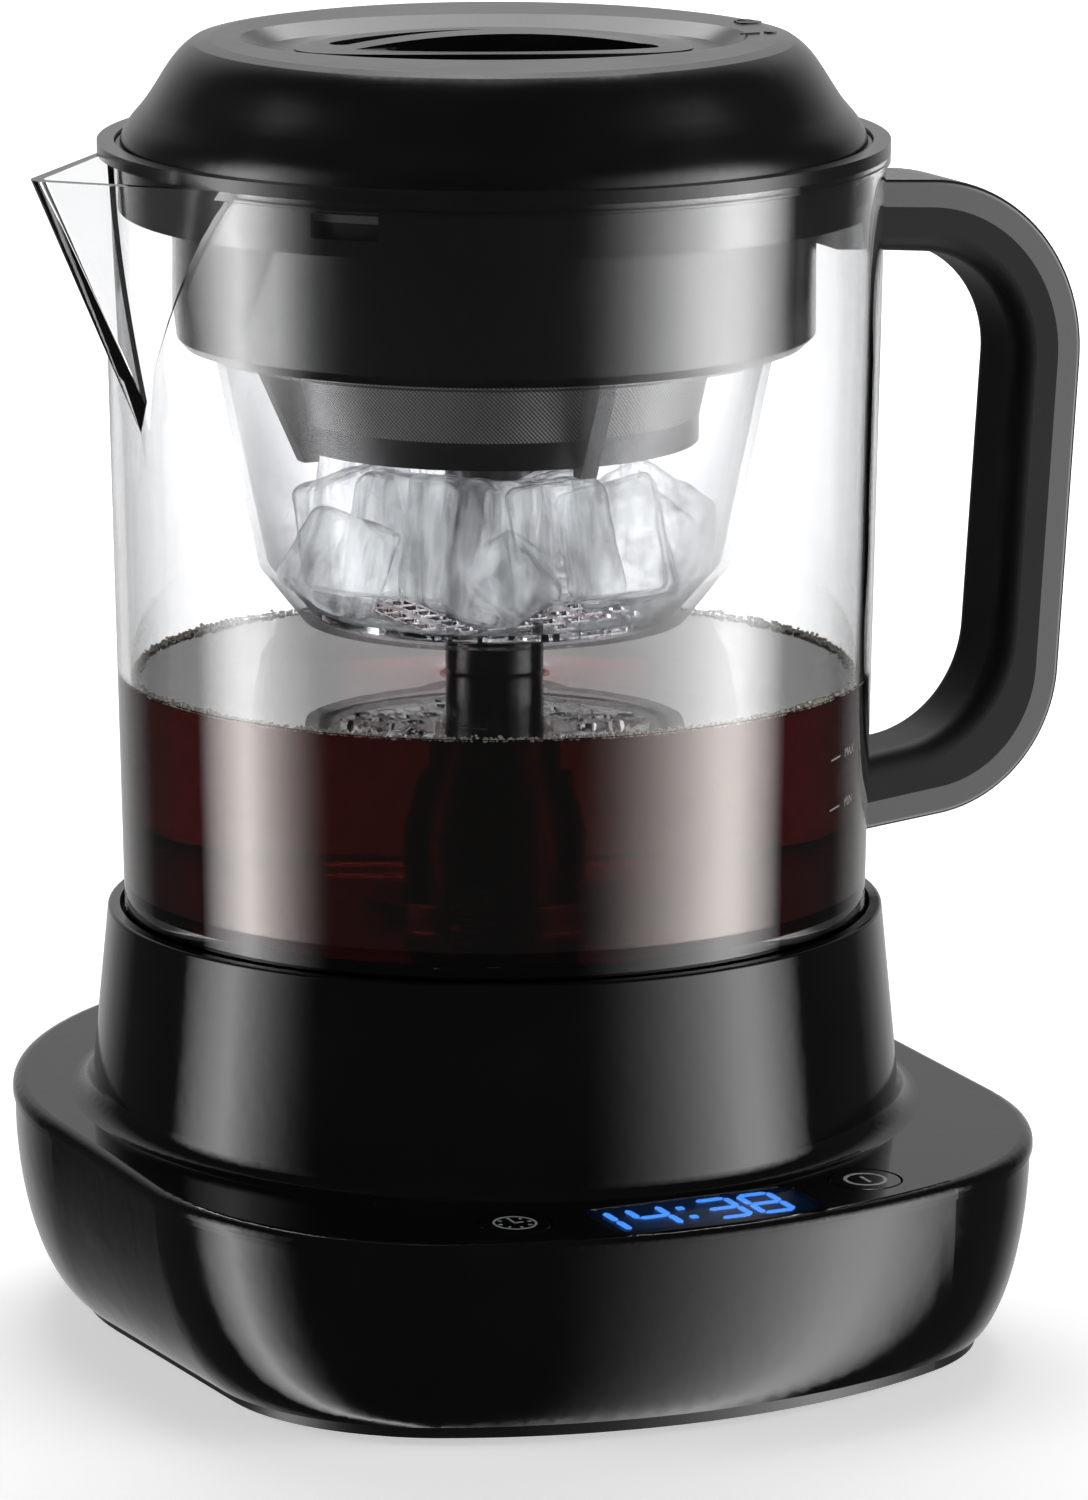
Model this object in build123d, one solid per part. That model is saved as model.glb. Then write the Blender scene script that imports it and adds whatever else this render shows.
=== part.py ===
from build123d import *
import os
from math import atan, cos, degrees, radians, sin, sqrt

# Cold brew coffee maker, in millimetres. +Z is up and the origin is on the pitcher's axis at the
# surface that the feet stand on. The control panel faces -Y, the handle +X and the spout -X.

FIT = 0.3                  # gap between pieces that lift, press or turn apart
RUNNING = 0.05             # radial gap of a shaft in its hole
SEAT = 0.02                # radial gap of a piece fastened in its hole

# Base, outside
BASE_HALF_WIDTH = 95.5
BASE_FRONT = 109.0
BASE_BACK = 106.5
FRONT_BULGE_R = 160.0
CORNER_R = 61.5
SIDE_CURL = 17.0           # how far the side wall curls in under itself
CURL_TOP = 44.0            # height at which the side wall is upright
CURL_HEIGHT = 41.5
FRONT_CURL_SHARE = 0.47    # the front curls in less than the sides
COVER_PROUD = 0.5          # the top cover's edge stands out from the side wall below it
DECK_Z = 47.5              # deck height on the pitcher's axis
DECK_SLOPE = 0.039         # the deck falls towards the control panel
DECK_T = 2.6
COVER_EDGE = 3.4           # height of the cover's edge above the seam
CREASE_R = 2.4
WALL_T = 2.4
SKIRT_T = 1.4
SKIRT_DROP = 3.0           # how far the locating skirt reaches below the seam
BIG = 70.0                 # height of a cutting block that clears the whole base

# Plinth under the base
FOOT_T = 3.0
FOOT_IN = 6.0              # from the plate's edge to the ring-shaped foot
FOOT_W = 8.0
PLATE_BOTTOM = 2.0
PLATE_T = 2.4
PLATE_TOP = PLATE_BOTTOM + PLATE_T
PLATE_INSET = 14.5
FLANGE_TOP = PLATE_TOP + 2.2
FLANGE_INSET = 42.0
POST_R = 4.2
DECK_POSTS = ((58.0, -64.0), (-58.0, -64.0))
CUP_POSTS = ((38.0, 59.0), (-38.0, 59.0))
POSTS = DECK_POSTS + CUP_POSTS
SCREW_R = 1.5
SCREW_HEAD_R = 2.8
SCREW_HEAD_T = 1.4
PLATE_SCREW_LONG = 12.0
VENT_LONG = 30.0
VENT_WIDE = 2.4
VENT_PITCH = 7.0

# Cord gland in the back wall
GLAND_LONG = 13.0
GLAND_HIGH = 9.0
GLAND_Z = 20.0
GLAND_WALL_OUT = BASE_BACK - 7.0
GLAND_WALL_IN = GLAND_WALL_OUT - WALL_T
GLAND_FLANGE = 1.8
CORD_SLOT = (6.4, 3.4)

# Collar and the cup in it
RIM_Z = 87.5
COLLAR_R_RIM = 79.7
COLLAR_R_DECK = 83.6
CUP_R = 77.3
CUP_FLOOR = RIM_Z - 9.0
CUP_FLOOR_T = 2.5
CUP_UNDER = CUP_FLOOR - CUP_FLOOR_T
COVE_R = 4.6
SEAT_T = 1.5
SEAT_R_IN = 70.0
BOSS_R = 23.0
BOSS_WALL = 2.0
BOSS_TOP = CUP_FLOOR + 6.5
BOSS_SKIN = 1.2

# Pitcher
JUG_FOOT = CUP_FLOOR + SEAT_T
JUG_UNDER = BOSS_TOP + 0.6   # underside of the clear floor
JUG_FLOOR = JUG_UNDER + 4.4
JUG_TOP = 243.0
JUG_WALL = 2.5
JUG_R_AT_RIM = 76.3        # outer radius level with the collar's rim
JUG_DRAFT = 0.0212
LIP_OUT = 0.9
LIP_HIGH = 2.4

# Spout
SPOUT_ROOT_Z = JUG_TOP - 52.5  # height at which its keel leaves the wall
SPOUT_TIP_X = -103.1
SPOUT_TIP_R = 4.5
SPOUT_BACK_X = -60.0
SPOUT_HALF = 46.0
SPOUT_WALL = 2.2

# Handle, seen from the front as a C of three straight runs
HANDLE_W = 20.0
HANDLE_ROOT_X = 72.0
HANDLE_TOP_Z = JUG_TOP - 9.3
HANDLE_LOW_Z = JUG_FLOOR + 4.9
HANDLE_TOP_CORNER = (134.2, HANDLE_TOP_Z - 4.0)
HANDLE_LOW_CORNER = (125.4, HANDLE_LOW_Z + 5.3)
HANDLE_TOP_R = 38.0
HANDLE_LOW_R = 31.0
SHELL_T = 5.7
HANDLE_T = 15.0
GRIP_TOP_R = 23.0
GRIP_LOW_R = 24.0
GRIP_ROUND = 4.2
SHELL_ROUND = 1.2
TONGUE_W = 10.0
TONGUE_H = 7.0
TONGUE_END = 93.0
TONGUES = (HANDLE_TOP_Z - 10.7, HANDLE_LOW_Z + 5.6)  # undersides of the pitcher's two tongues
TONGUE_FIT = 0.1
HANDLE_SCREW_X = 87.0
HANDLE_SCREW_SEAT = 1.5    # handle wall between the tongue and the screw's head
HANDLE_SCREW_LONG = 8.0

# Pump and riser in the pitcher
PIN_R = 1.5
PIN_DEEP = 2.5
PIN_TOP = JUG_FLOOR + 15.0
PUMP_R = 14.0
PUMP_WALL = 1.5
PUMP_FLANGE_R = 18.0
PUMP_FLANGE_T = 2.0
PUMP_SHOULDER = JUG_FLOOR + 17.0
PUMP_TOP = PUMP_SHOULDER + 11.5
PUMP_NECK_WALL = 1.5
PUMP_INLET = (7.0, 6.0)
RISER_R = 10.1
RISER_WALL = 1.5
RISER_BORE = RISER_R - RISER_WALL
RISER_FOOT = PUMP_SHOULDER + 3.0
IMPELLER_R = 11.4
IMPELLER_Z = JUG_FLOOR + 1.0
IMPELLER_HUB_R = 3.6
IMPELLER_RIM = 1.4
VANE_T = 1.2
VANE_H = 6.0
RING_MAGNET_T = 4.0

# Brew basket
RING_R = 80.5
RING_TOP = JUG_TOP + 2.6
RING_R_IN = 77.0
STEP_Z = RING_TOP - 1.7    # step inside the flange ring, which carries the lid
BAND_R = 76.4
BAND_WALL = 1.8
BAND_BORE = BAND_R - BAND_WALL
LEDGE_Z = JUG_TOP - 11.2
LEDGE_T = 2.0
DRUM_R = 65.5
DRUM_BORE = 63.5
DRUM_BOTTOM = LEDGE_Z - 27.2
DRUM_FLOOR_T = 2.4
DRUM_ROUND = 2.0
DRUM_MOUTH = 58.4
SHELF_Z = LEDGE_Z - 1.8    # shelf in the drum that carries the filter
SHELF_IN = 3.0
WINDOW_ANGLES = (-138.0, -42.0, 42.0, 138.0)
WINDOW_SIZE = (12.0, 14.3, 5.0)
WINDOW_Z = JUG_TOP - 5.4

# Filter
FILTER_FLANGE_T = 2.0
FILTER_R = 62.9
MESH_R_TOP = 50.4
MESH_R_LOW = 42.0
MESH_T = 0.5
FILTER_Z0 = SHELF_Z - 45.8
FILTER_Z1 = FILTER_Z0 + 5.6
FILTER_RING_R = 41.8
FILTER_RING_BORE = 38.8
FIN_T = 3.6
SPOKE_SIZE = (2.4, 3.0)
SLEEVE_BORE = 10.6
SLEEVE_R = 12.2
FILTER_SLEEVE_TOP = SHELF_Z - 6.0
MESH_FLOOR_Z = FILTER_Z0 + 3.0

# Ice basket
ICE_RIM_R = 58.1
ICE_RIM_TOP = DRUM_BOTTOM + 6.4
ICE_WALL = 1.8
ICE_SHOULDER_R = 60.0
ICE_SHOULDER_Z = DRUM_BOTTOM - 1.4
ICE_R_TOP = 57.3
ICE_R_MID = 48.3
ICE_BOTTOM = DRUM_BOTTOM - 57.4
ICE_MID_Z = ICE_BOTTOM + 11.0
ICE_R_LOW = 39.4
ICE_LEDGE = 4.0
ICE_LEDGE_T = 1.2
GRID_T = 1.6
GRID_HOLE = 4.0
GRID_PITCH = 6.2
GRID_SLEEVE_TOP = ICE_BOTTOM + 19.8

# Lid
LID_RIM_T = 0.9
DOME_FOOT = STEP_Z + LID_RIM_T
LID_TOP = DOME_FOOT + 21.2
DOME_R = 75.9
DOME_SHOULDER = (71.4, DOME_FOOT + 7.6)
DOME_TOP_R = 61.2
DOME_TOP_EDGE_Z = LID_TOP - 0.6
LID_FLAT_R = 57.5
DOME_WALL = 2.2
PLUG_R = 72.4
PLUG_BOTTOM = STEP_Z - 9.9
PLUG_FLOOR_T = 2.0
PLUG_BORE = 69.2
GROOVE_Z = (PLUG_BOTTOM + 4.2, PLUG_BOTTOM + 6.2)
GROOVE_R = 70.8
HUB_R = 28.0
HUB_BORE = 25.4
HUB_ROOF = (PLUG_BOTTOM + 10.0, PLUG_BOTTOM + 12.0)
PIVOT_R = 2.0
PIVOT_BOSS_R = 8.0
PIVOT_Z = HUB_ROOF[1] + 4.0
PIVOT_SCREW_TOP = PIVOT_Z + 9.0
SPRAY_R = 22.0
SPRAY_FLANGE_R = 25.2
SPRAY_TOP = PLUG_BOTTOM + 7.0
RISER_TOP = PLUG_BOTTOM + 3.0
SPRAY_WALL = 1.6
SPRAY_HOLES = 12
DISH_A = 51.5
DISH_B = 37.0
DISH_SLOPE = 4.5
DISH_DEPTH = 2.4
DISH_Z = LID_TOP - DISH_DEPTH
GRIP_TURN = -24.0          # long axis of the lid's grip, from +X
INSERT_A = 40.5
INSERT_B = 22.0
INSERT_CROWN = LID_TOP - 0.8
INSERT_BOTTOM = PIVOT_Z + 1.4
INSERT_CROWN_R = 586.0
INSERT_FLANGE = 3.0
INSERT_FLANGE_T = 1.5
BAR_SKEW = 8.0
BAR_W = 8.0
BAR_TOP = LID_TOP + 1.0
BAR_ARCH_R = 171.0
BAR_LONG = 62.0
PIT_HALF = 34.0
PIT_WIDE = 14.4
PIT_SHIFT = 4.6
PIT_CORNER = 3.5
PIT_FLOOR = INSERT_BOTTOM + 2.2

# Control panel, measured on the deck
BUTTON_X = 39.0
BUTTON_Y = -90.0
BUTTON_R = 7.3
BUTTON_FLANGE_R = 8.9
BUTTON_FLANGE_T = 1.4
BUTTON_STEM_R = 2.4
WINDOW_CENTRE_Y = -96.8
WINDOW_LONG = 47.0
WINDOW_WIDE = 18.8
WINDOW_CORNER = 3.5
WINDOW_T = 0.6             # thin pane, so that the figures shine just under its face
WINDOW_LEDGE = 2.0
DIGIT_H = 12.0
DIGIT_W = 6.6
DIGIT_X = (-22.5, -11.1, 4.2, 13.7)
DIGIT_T = 0.25
SEGMENT_W = 1.3
COLON_DOT = 1.5
COLON_X = -3.8
COLON_Y = 3.1
BOARD_DROP = 11.0          # the board's top face below the deck
BOARD_T = 1.6
BOARD_LONG = 100.0
BOARD_REAR_Y = -73.5
BOARD_CLEAR = 4.2
BOARD_POSTS = ((48.0, -77.5), (-48.0, -77.5), (26.5, -99.0), (-26.5, -99.0))
BOARD_POST_R = 2.8
BOARD_SCREW_R = 1.0
SWITCH_SIDE = 6.2
SWITCH_BODY = 3.4
SWITCH_HIGH = 4.3
SWITCH_GAP = 0.9           # the button's travel, with a little to spare
LED_LONG = 42.4
LED_WIDE = 13.6
LED_Y = -95.5
LED_TOP_DROP = 0.9
LED_CORNER = 0.5           # corners of the opening that the module stands in

# Motor and magnetic drive
MOTOR_R = 16.0
MOTOR_WALL = 1.0
MOTOR_Z0 = 34.0
MOTOR_Z1 = 69.0
MOTOR_END_T = 1.2
CAP_T = 3.0
CAP_HUB_R = 5.0
TAG_Y = 11.0
TAG_SIZE = (2.8, 0.6, 5.5)
BRACKET_SCREW_LONG = 5.0
BUSH_R = 4.0
BUSH_FLANGE = 1.5
BUSH_LONG = 3.0
ARMATURE_R = 10.5
FIELD_BORE = 11.5
ARMATURE_Z = (42.0, 62.0)
BRACKET_T = 1.5
BRACKET_ORBIT = 25.5
BRACKET_ARMS = (90, 210, 330)
BRACKET_ARM_W = 9.0
BRACKET_POST_R = 3.2
SHAFT_R = 1.5
ROTOR_R = 18.5
ROTOR_Z0 = 78.0
ROTOR_Z1 = 83.3
ROTOR_HUB_R = 4.0
ROTOR_HUB_DROP = 5.0
ROTOR_BORE_TOP = 82.3
MAGNET_ORBIT = 11.5
MAGNET_R = 5.0
MAGNET_DEEP = 3.6

BOTTOM = (Align.CENTER, Align.CENTER, Align.MIN)
FROM_X = (Align.MIN, Align.CENTER, Align.MIN)


def disc(r, z0, z1, x=0.0, y=0.0):
    """Upright cylinder from height z0 to z1."""
    return Pos(x, y, z0) * Cylinder(r, z1 - z0, align=BOTTOM)


def tube(r_out, r_in, z0, z1, x=0.0, y=0.0):
    """Upright tube from height z0 to z1."""
    return disc(r_out, z0, z1, x, y) - disc(r_in, z0 - 1, z1 + 1, x, y)


def turned(*points):
    """Solid turned about the pitcher's axis from corners given as radius and height."""
    return revolve(make_face(Plane.XZ * Polyline(*points, close=True)), Axis.Z)


def polar(r, angle):
    """Point at a radius and an angle in degrees about the pitcher's axis."""
    return r * cos(radians(angle)), r * sin(radians(angle))


def base_plan(curl_in=0.0, wall=0.0):
    """Base outline: round at the back, a bulged front and soft front corners.

    curl_in draws it in the way the side wall curls, wall sets it in evenly.
    """
    half = BASE_HALF_WIDTH - curl_in
    bulge_r = FRONT_BULGE_R - 2.4 * curl_in
    corner_r = CORNER_R - 1.1 * curl_in
    bulge_y = bulge_r - BASE_FRONT + FRONT_CURL_SHARE * curl_in
    back_y = BASE_BACK - BASE_HALF_WIDTH
    drop = sqrt((bulge_r - corner_r) ** 2 - (half - corner_r) ** 2)
    corner_x, corner_y = half - corner_r, bulge_y - drop
    away = -degrees(atan(drop / corner_x))
    bulge_r, corner_r, half = bulge_r - wall, corner_r - wall, half - wall
    touch_x, touch_y = polar(bulge_r, away)
    touch_y += bulge_y
    mid_x, mid_y = polar(corner_r, away / 2)
    mid_x, mid_y = mid_x + corner_x, mid_y + corner_y
    outline = Curve() + [
        ThreePointArc((-touch_x, touch_y), (0, bulge_y - bulge_r), (touch_x, touch_y)),
        ThreePointArc((touch_x, touch_y), (mid_x, mid_y), (half, corner_y)),
        Line((half, corner_y), (half, back_y)),
        ThreePointArc((half, back_y), (0, back_y + half), (-half, back_y)),
        Line((-half, back_y), (-half, corner_y)),
        ThreePointArc((-half, corner_y), (-mid_x, mid_y), (-touch_x, touch_y)),
    ]
    return make_face(outline)


def plan_block(z0, z1, wall):
    """Upright block of the base's outline, set in evenly by wall."""
    return Pos(0, 0, z0) * extrude(base_plan(0.0, wall), z1 - z0)


def curl(z):
    """How far the side wall has curled in at a height."""
    t = min(max((CURL_TOP - z) / CURL_HEIGHT, 0.0), 1.0)
    return SIDE_CURL * (1 - sqrt(1 - t * t))


def deck_plane(drop=0.0):
    """Plane of the sloping deck, or one parallel to it and deeper by drop."""
    deck = Plane(origin=(0, 0, DECK_Z), x_dir=(1, 0, 0), z_dir=(0, -DECK_SLOPE, 1))
    return deck.offset(-drop)


def below_deck(body, drop):
    return split(body, bisect_by=deck_plane(drop), keep=Keep.BOTTOM)


def above_deck(body, drop):
    return split(body, bisect_by=deck_plane(drop), keep=Keep.TOP)


def on_deck(x, y, drop=0.0):
    """Place on the deck over a point of the plan."""
    return deck_plane(drop) * Pos(x, y * sqrt(1 + DECK_SLOPE ** 2), 0)


def deck_disc(r, x, y, top, bottom):
    """Cylinder square to the deck, between two depths below it."""
    return on_deck(x, y, bottom) * Cylinder(r, bottom - top, align=BOTTOM)


def jug_r(z):
    """Outer radius of the pitcher's wall."""
    return JUG_R_AT_RIM + JUG_DRAFT * (z - RIM_Z)


def collar_r(z):
    """Outer radius of the base's collar."""
    return COLLAR_R_RIM + (COLLAR_R_DECK - COLLAR_R_RIM) * (RIM_Z - z) / (RIM_Z - DECK_Z)


# Base

def base_top_cover():
    """Deck with its rounded edge, cove, collar, cup floor, panel openings and inner posts."""
    slab = above_deck(below_deck(plan_block(20, BIG, 0.0), 0.0), COVER_EDGE)
    top = slab.faces().filter_by(GeomType.PLANE).sort_by(SortBy.AREA)[-2:].sort_by(Axis.Z)[-1]
    body = fillet(top.edges(), CREASE_R)
    root_z = DECK_Z - 5.0
    body += turned((0, root_z), (collar_r(root_z), root_z), (collar_r(RIM_Z), RIM_Z), (0, RIM_Z))
    deck = [f for f in body.faces().filter_by(GeomType.PLANE)
            if f.normal_at().Z > 0.99 and f.center().Z < DECK_Z + 3]
    cove = [e for f in deck for e in f.edges()
            if e.geom_type != GeomType.LINE and max(abs(v.X) for v in e.vertices()) < collar_r(root_z) + 1
            and abs((e @ 0.5).Y) < collar_r(root_z) + 1]
    body = fillet(cove, COVE_R)
    rim = [e for e in body.edges().filter_by(GeomType.CIRCLE) if abs(e.center().Z - RIM_Z) < 0.01]
    body = fillet(rim, 0.7)
    hollow = below_deck(plan_block(20, BIG, COVER_PROUD + WALL_T), DECK_T)
    wall_r = collar_r(DECK_Z) - WALL_T
    hollow += turned((0, 30), (wall_r, 30), (wall_r, DECK_Z), (collar_r(CUP_UNDER) - WALL_T, CUP_UNDER),
                     (0, CUP_UNDER))
    body -= hollow
    body -= disc(CUP_R, CUP_FLOOR, BIG * 2)
    body += disc(BOSS_R, CUP_UNDER, BOSS_TOP)
    body -= disc(BOSS_R - BOSS_WALL, CUP_UNDER - 1, BOSS_TOP - BOSS_SKIN)
    body += locating_skirt()
    body += cover_posts()
    return body - panel_cuts()


def locating_skirt():
    """Thin rib inside the seam that centres the side wall."""
    face_in = COVER_PROUD + WALL_T + 0.2
    skirt = plan_block(20, BIG, face_in) - plan_block(19, BIG + 1, face_in + SKIRT_T)
    skirt -= Pos(0, -BASE_FRONT, 0) * Box(LED_LONG + 6, 40, 2 * BIG)
    return above_deck(below_deck(skirt, DECK_T - 0.2), COVER_EDGE + SKIRT_DROP)


def cover_posts():
    """Posts for the screws from below, the control board and the motor bracket."""
    posts = Part() + [below_deck(disc(POST_R, FLANGE_TOP, BIG, x, y), DECK_T - 0.5) for x, y in DECK_POSTS]
    posts += [disc(POST_R, FLANGE_TOP, CUP_UNDER + 0.5, x, y) for x, y in CUP_POSTS]
    posts -= [disc(SCREW_R, 0, FLANGE_TOP + PLATE_SCREW_LONG, x, y) for x, y in POSTS]
    for x, y in BOARD_POSTS:
        post = deck_disc(BOARD_POST_R, x, y, DECK_T - 0.5, BOARD_DROP)
        posts += post - deck_disc(BOARD_SCREW_R, x, y, DECK_T + 1, BOARD_DROP + 1)
    for angle in BRACKET_ARMS:
        x, y = polar(BRACKET_ORBIT, angle)
        posts += tube(BRACKET_POST_R, SCREW_R, MOTOR_Z1 + BRACKET_T, CUP_UNDER + 0.5, x, y)
    return posts


def panel_cuts():
    """Holes for the buttons, the recess for the window and the opening under it."""
    cuts = Part()
    for x in (-BUTTON_X, BUTTON_X):
        cuts += deck_disc(BUTTON_R + FIT, x, BUTTON_Y, -1, DECK_T + 1)
    recess = RectangleRounded(WINDOW_LONG, WINDOW_WIDE, WINDOW_CORNER)
    cuts += on_deck(0, WINDOW_CENTRE_Y, WINDOW_T) * extrude(recess, WINDOW_T + 1)
    opening = RectangleRounded(WINDOW_LONG - 2 * WINDOW_LEDGE, WINDOW_WIDE - WINDOW_LEDGE, LED_CORNER)
    return cuts + on_deck(0, WINDOW_CENTRE_Y, DECK_T + 1) * extrude(opening, DECK_T + 1)


def side_wall(inset):
    """Solid inside the curling side wall, set in evenly by inset."""
    heights = (PLATE_TOP, 6.5, 10.0, 15.0, 22.0, 31.0, 41.0, 56.0)
    return loft([Pos(0, 0, z) * base_plan(curl(z), inset) for z in heights])


def back_slot(long, high, y0, y1):
    """Slot-shaped block lying along Y in the back wall."""
    face = Plane(origin=(0, y1, GLAND_Z), x_dir=(1, 0, 0), z_dir=(0, -1, 0)) * SlotOverall(long, high)
    return extrude(face, y1 - y0)


def base_lower_housing():
    """Bowl-shaped side wall with an inward flange at the foot and a flat for the cord gland."""
    outer = side_wall(COVER_PROUD)
    inner = side_wall(COVER_PROUD + WALL_T)
    body = outer - split(inner, bisect_by=Plane.XY.offset(FLANGE_TOP), keep=Keep.TOP)
    body = below_deck(body, COVER_EDGE)
    flat_long, flat_high = GLAND_LONG + 10, GLAND_HIGH + 8
    behind = BASE_BACK + 5
    body += back_slot(flat_long + 5, flat_high + 5, GLAND_WALL_IN, behind) & outer
    body -= back_slot(flat_long, flat_high, GLAND_WALL_OUT, behind)
    body -= back_slot(GLAND_LONG, GLAND_HIGH, GLAND_WALL_IN - 10, behind)
    body -= extrude(base_plan(FLANGE_INSET), FLANGE_TOP + 1)
    for x, y in POSTS:
        body -= disc(SCREW_R + FIT, 0, FLANGE_TOP + 1, x, y)
    return body


def cord_gland():
    """Rubber gland, grooved round the wall, with a slot for a flat cord."""
    y0, y1 = GLAND_WALL_IN - GLAND_FLANGE, GLAND_WALL_OUT + GLAND_FLANGE
    body = back_slot(GLAND_LONG - 2 * SEAT, GLAND_HIGH - 2 * SEAT, y0, y1)
    body += back_slot(GLAND_LONG + 4, GLAND_HIGH + 4, y0, GLAND_WALL_IN)
    body += back_slot(GLAND_LONG + 4, GLAND_HIGH + 4, GLAND_WALL_OUT, y1)
    return body - back_slot(CORD_SLOT[0], CORD_SLOT[1], y0 - 1, y1 + 1)


def bottom_plate():
    """Plate that closes the base, with vents, a groove for the foot and sunk screw seats."""
    body = Pos(0, 0, PLATE_BOTTOM) * extrude(base_plan(PLATE_INSET), PLATE_T)
    body -= foot_ring(SEAT)
    for x, y in POSTS:
        body -= disc(SCREW_R + SEAT, 0, PLATE_TOP + 1, x, y)
        body -= disc(SCREW_HEAD_R + 0.2, 0, PLATE_BOTTOM + SCREW_HEAD_T, x, y)
    for row in range(-3, 4):
        body -= Pos(0, VENT_PITCH * row, 0) * extrude(SlotOverall(VENT_LONG, VENT_WIDE), PLATE_TOP + 1)
    return body


def foot_ring(grow):
    """Ring that follows the plate's edge, from the standing plane up into the plate."""
    ring = base_plan(PLATE_INSET, FOOT_IN - grow) - base_plan(PLATE_INSET, FOOT_IN + FOOT_W + grow)
    return extrude(ring, FOOT_T)


def rubber_foot():
    """One-piece rubber ring that the base stands on."""
    ring = foot_ring(0.0)
    return chamfer(ring.edges().group_by(Axis.Z)[0], 0.6)


def screw(x, y, seat_z, long):
    """Upright cross-head screw, its head below seat_z and its shank above."""
    head_z = seat_z - SCREW_HEAD_T
    body = disc(SCREW_HEAD_R, head_z, seat_z, x, y) + disc(SCREW_R - SEAT, seat_z, seat_z + long, x, y)
    cross = Box(3.2, 0.9, 1.6) + Box(0.9, 3.2, 1.6)
    return body - Pos(x, y, head_z) * cross


def plate_screws():
    return Part() + [screw(x, y, PLATE_BOTTOM + SCREW_HEAD_T, PLATE_SCREW_LONG) for x, y in POSTS]


def seat_ring():
    return tube(CUP_R - 0.1, SEAT_R_IN, CUP_FLOOR, JUG_FOOT)


def button(x):
    """Round cap level with the deck, a flange that holds it in and a stem to its switch."""
    cap = deck_disc(BUTTON_R, x, BUTTON_Y, 0.0, DECK_T)
    cap = fillet(cap.edges().group_by(Axis.Z)[-1], 0.5)
    cap += deck_disc(BUTTON_FLANGE_R, x, BUTTON_Y, DECK_T, DECK_T + BUTTON_FLANGE_T)
    stem_end = BOARD_DROP - SWITCH_HIGH - SWITCH_GAP
    return cap + deck_disc(BUTTON_STEM_R, x, BUTTON_Y, DECK_T, stem_end)


def timer_button():
    return button(-BUTTON_X)


def power_button():
    return button(BUTTON_X)


def button_switches():
    """Two tactile switches on the board: square body and round plunger."""
    switches = Part()
    for x in (-BUTTON_X, BUTTON_X):
        place = on_deck(x, BUTTON_Y, BOARD_DROP)
        switches += place * Box(SWITCH_SIDE, SWITCH_SIDE, SWITCH_BODY, align=BOTTOM)
        switches += place * Cylinder(1.7, SWITCH_HIGH, align=BOTTOM)
    return switches


def control_board():
    """Circuit board with a curved front edge and a chip on its underside."""
    under = BOARD_DROP + BOARD_T
    long = BASE_FRONT + BOARD_REAR_Y
    sheet = on_deck(0, BOARD_REAR_Y - long / 2, under) * Box(BOARD_LONG, long, BOARD_T, align=BOTTOM)
    body = sheet & plan_block(10, BIG, BOARD_CLEAR)
    body += on_deck(0, BOARD_REAR_Y - 10, under + 1.5) * Box(9, 7, 1.6, align=BOTTOM)
    for x, y in BOARD_POSTS:
        body -= deck_disc(BOARD_SCREW_R + SEAT, x, y, BOARD_DROP - 1, under + 1)
    return body


def board_screws():
    screws = Part()
    seat = BOARD_DROP + BOARD_T
    for x, y in BOARD_POSTS:
        screws += deck_disc(BOARD_SCREW_R - SEAT, x, y, seat - 6, seat)
        screws += deck_disc(2.0, x, y, seat, seat + 1.3)
    return screws


def led_display():
    """Digit module that stands on the board and ends just under the window."""
    high = BOARD_DROP - LED_TOP_DROP
    return on_deck(0, LED_Y, BOARD_DROP) * Box(LED_LONG, LED_WIDE, high, align=BOTTOM)


def segment(x, y, long, upright):
    """One lit bar with pointed ends."""
    half, w = long / 2, SEGMENT_W / 2
    points = [(-half, 0), (-half + w, w), (half - w, w), (half, 0), (half - w, -w), (-half + w, -w)]
    if upright:
        points = [(-py, px) for px, py in points]
    return Pos(x, y) * make_face(Polyline(*points, close=True))


def figure(x, bars_lit):
    """Seven-segment figure about (x, 0), named by its lit bars from a to g."""
    dx, dy = DIGIT_W / 2, DIGIT_H / 2
    tall, wide = dy - 0.5, DIGIT_W - 0.5
    bars = {"a": (0, dy, wide, False), "g": (0, 0, wide, False), "d": (0, -dy, wide, False),
            "f": (-dx, dy / 2, tall, True), "b": (dx, dy / 2, tall, True),
            "e": (-dx, -dy / 2, tall, True), "c": (dx, -dy / 2, tall, True)}
    return [segment(x + bars[k][0], bars[k][1], bars[k][2], bars[k][3]) for k in bars_lit]


def display_digits():
    """Lit segments on the module's face: four figures and a colon."""
    faces = [Pos(COLON_X, y) * Rectangle(COLON_DOT, COLON_DOT) for y in (-COLON_Y, COLON_Y)]
    for x, bars_lit in zip(DIGIT_X, ("bc", "fgbc", "abgcd", "abcdefg")):
        faces += figure(x, bars_lit)
    place = on_deck(0, LED_Y, LED_TOP_DROP)
    return Part() + [place * extrude(face, DIGIT_T) for face in faces]


def display_window():
    pane = RectangleRounded(WINDOW_LONG - 0.1, WINDOW_WIDE - 0.1, WINDOW_CORNER)
    return on_deck(0, WINDOW_CENTRE_Y, WINDOW_T) * extrude(pane, WINDOW_T - 0.1)


# Motor and magnetic drive

def motor_can():
    body = fillet(disc(MOTOR_R, MOTOR_Z0, MOTOR_Z1).edges().group_by(Axis.Z)[-1], 1.5)
    body -= disc(MOTOR_R - MOTOR_WALL, MOTOR_Z0 - 1, MOTOR_Z1 - MOTOR_END_T)
    return body - disc(BUSH_R, MOTOR_Z0, MOTOR_Z1 + 1)


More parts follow.
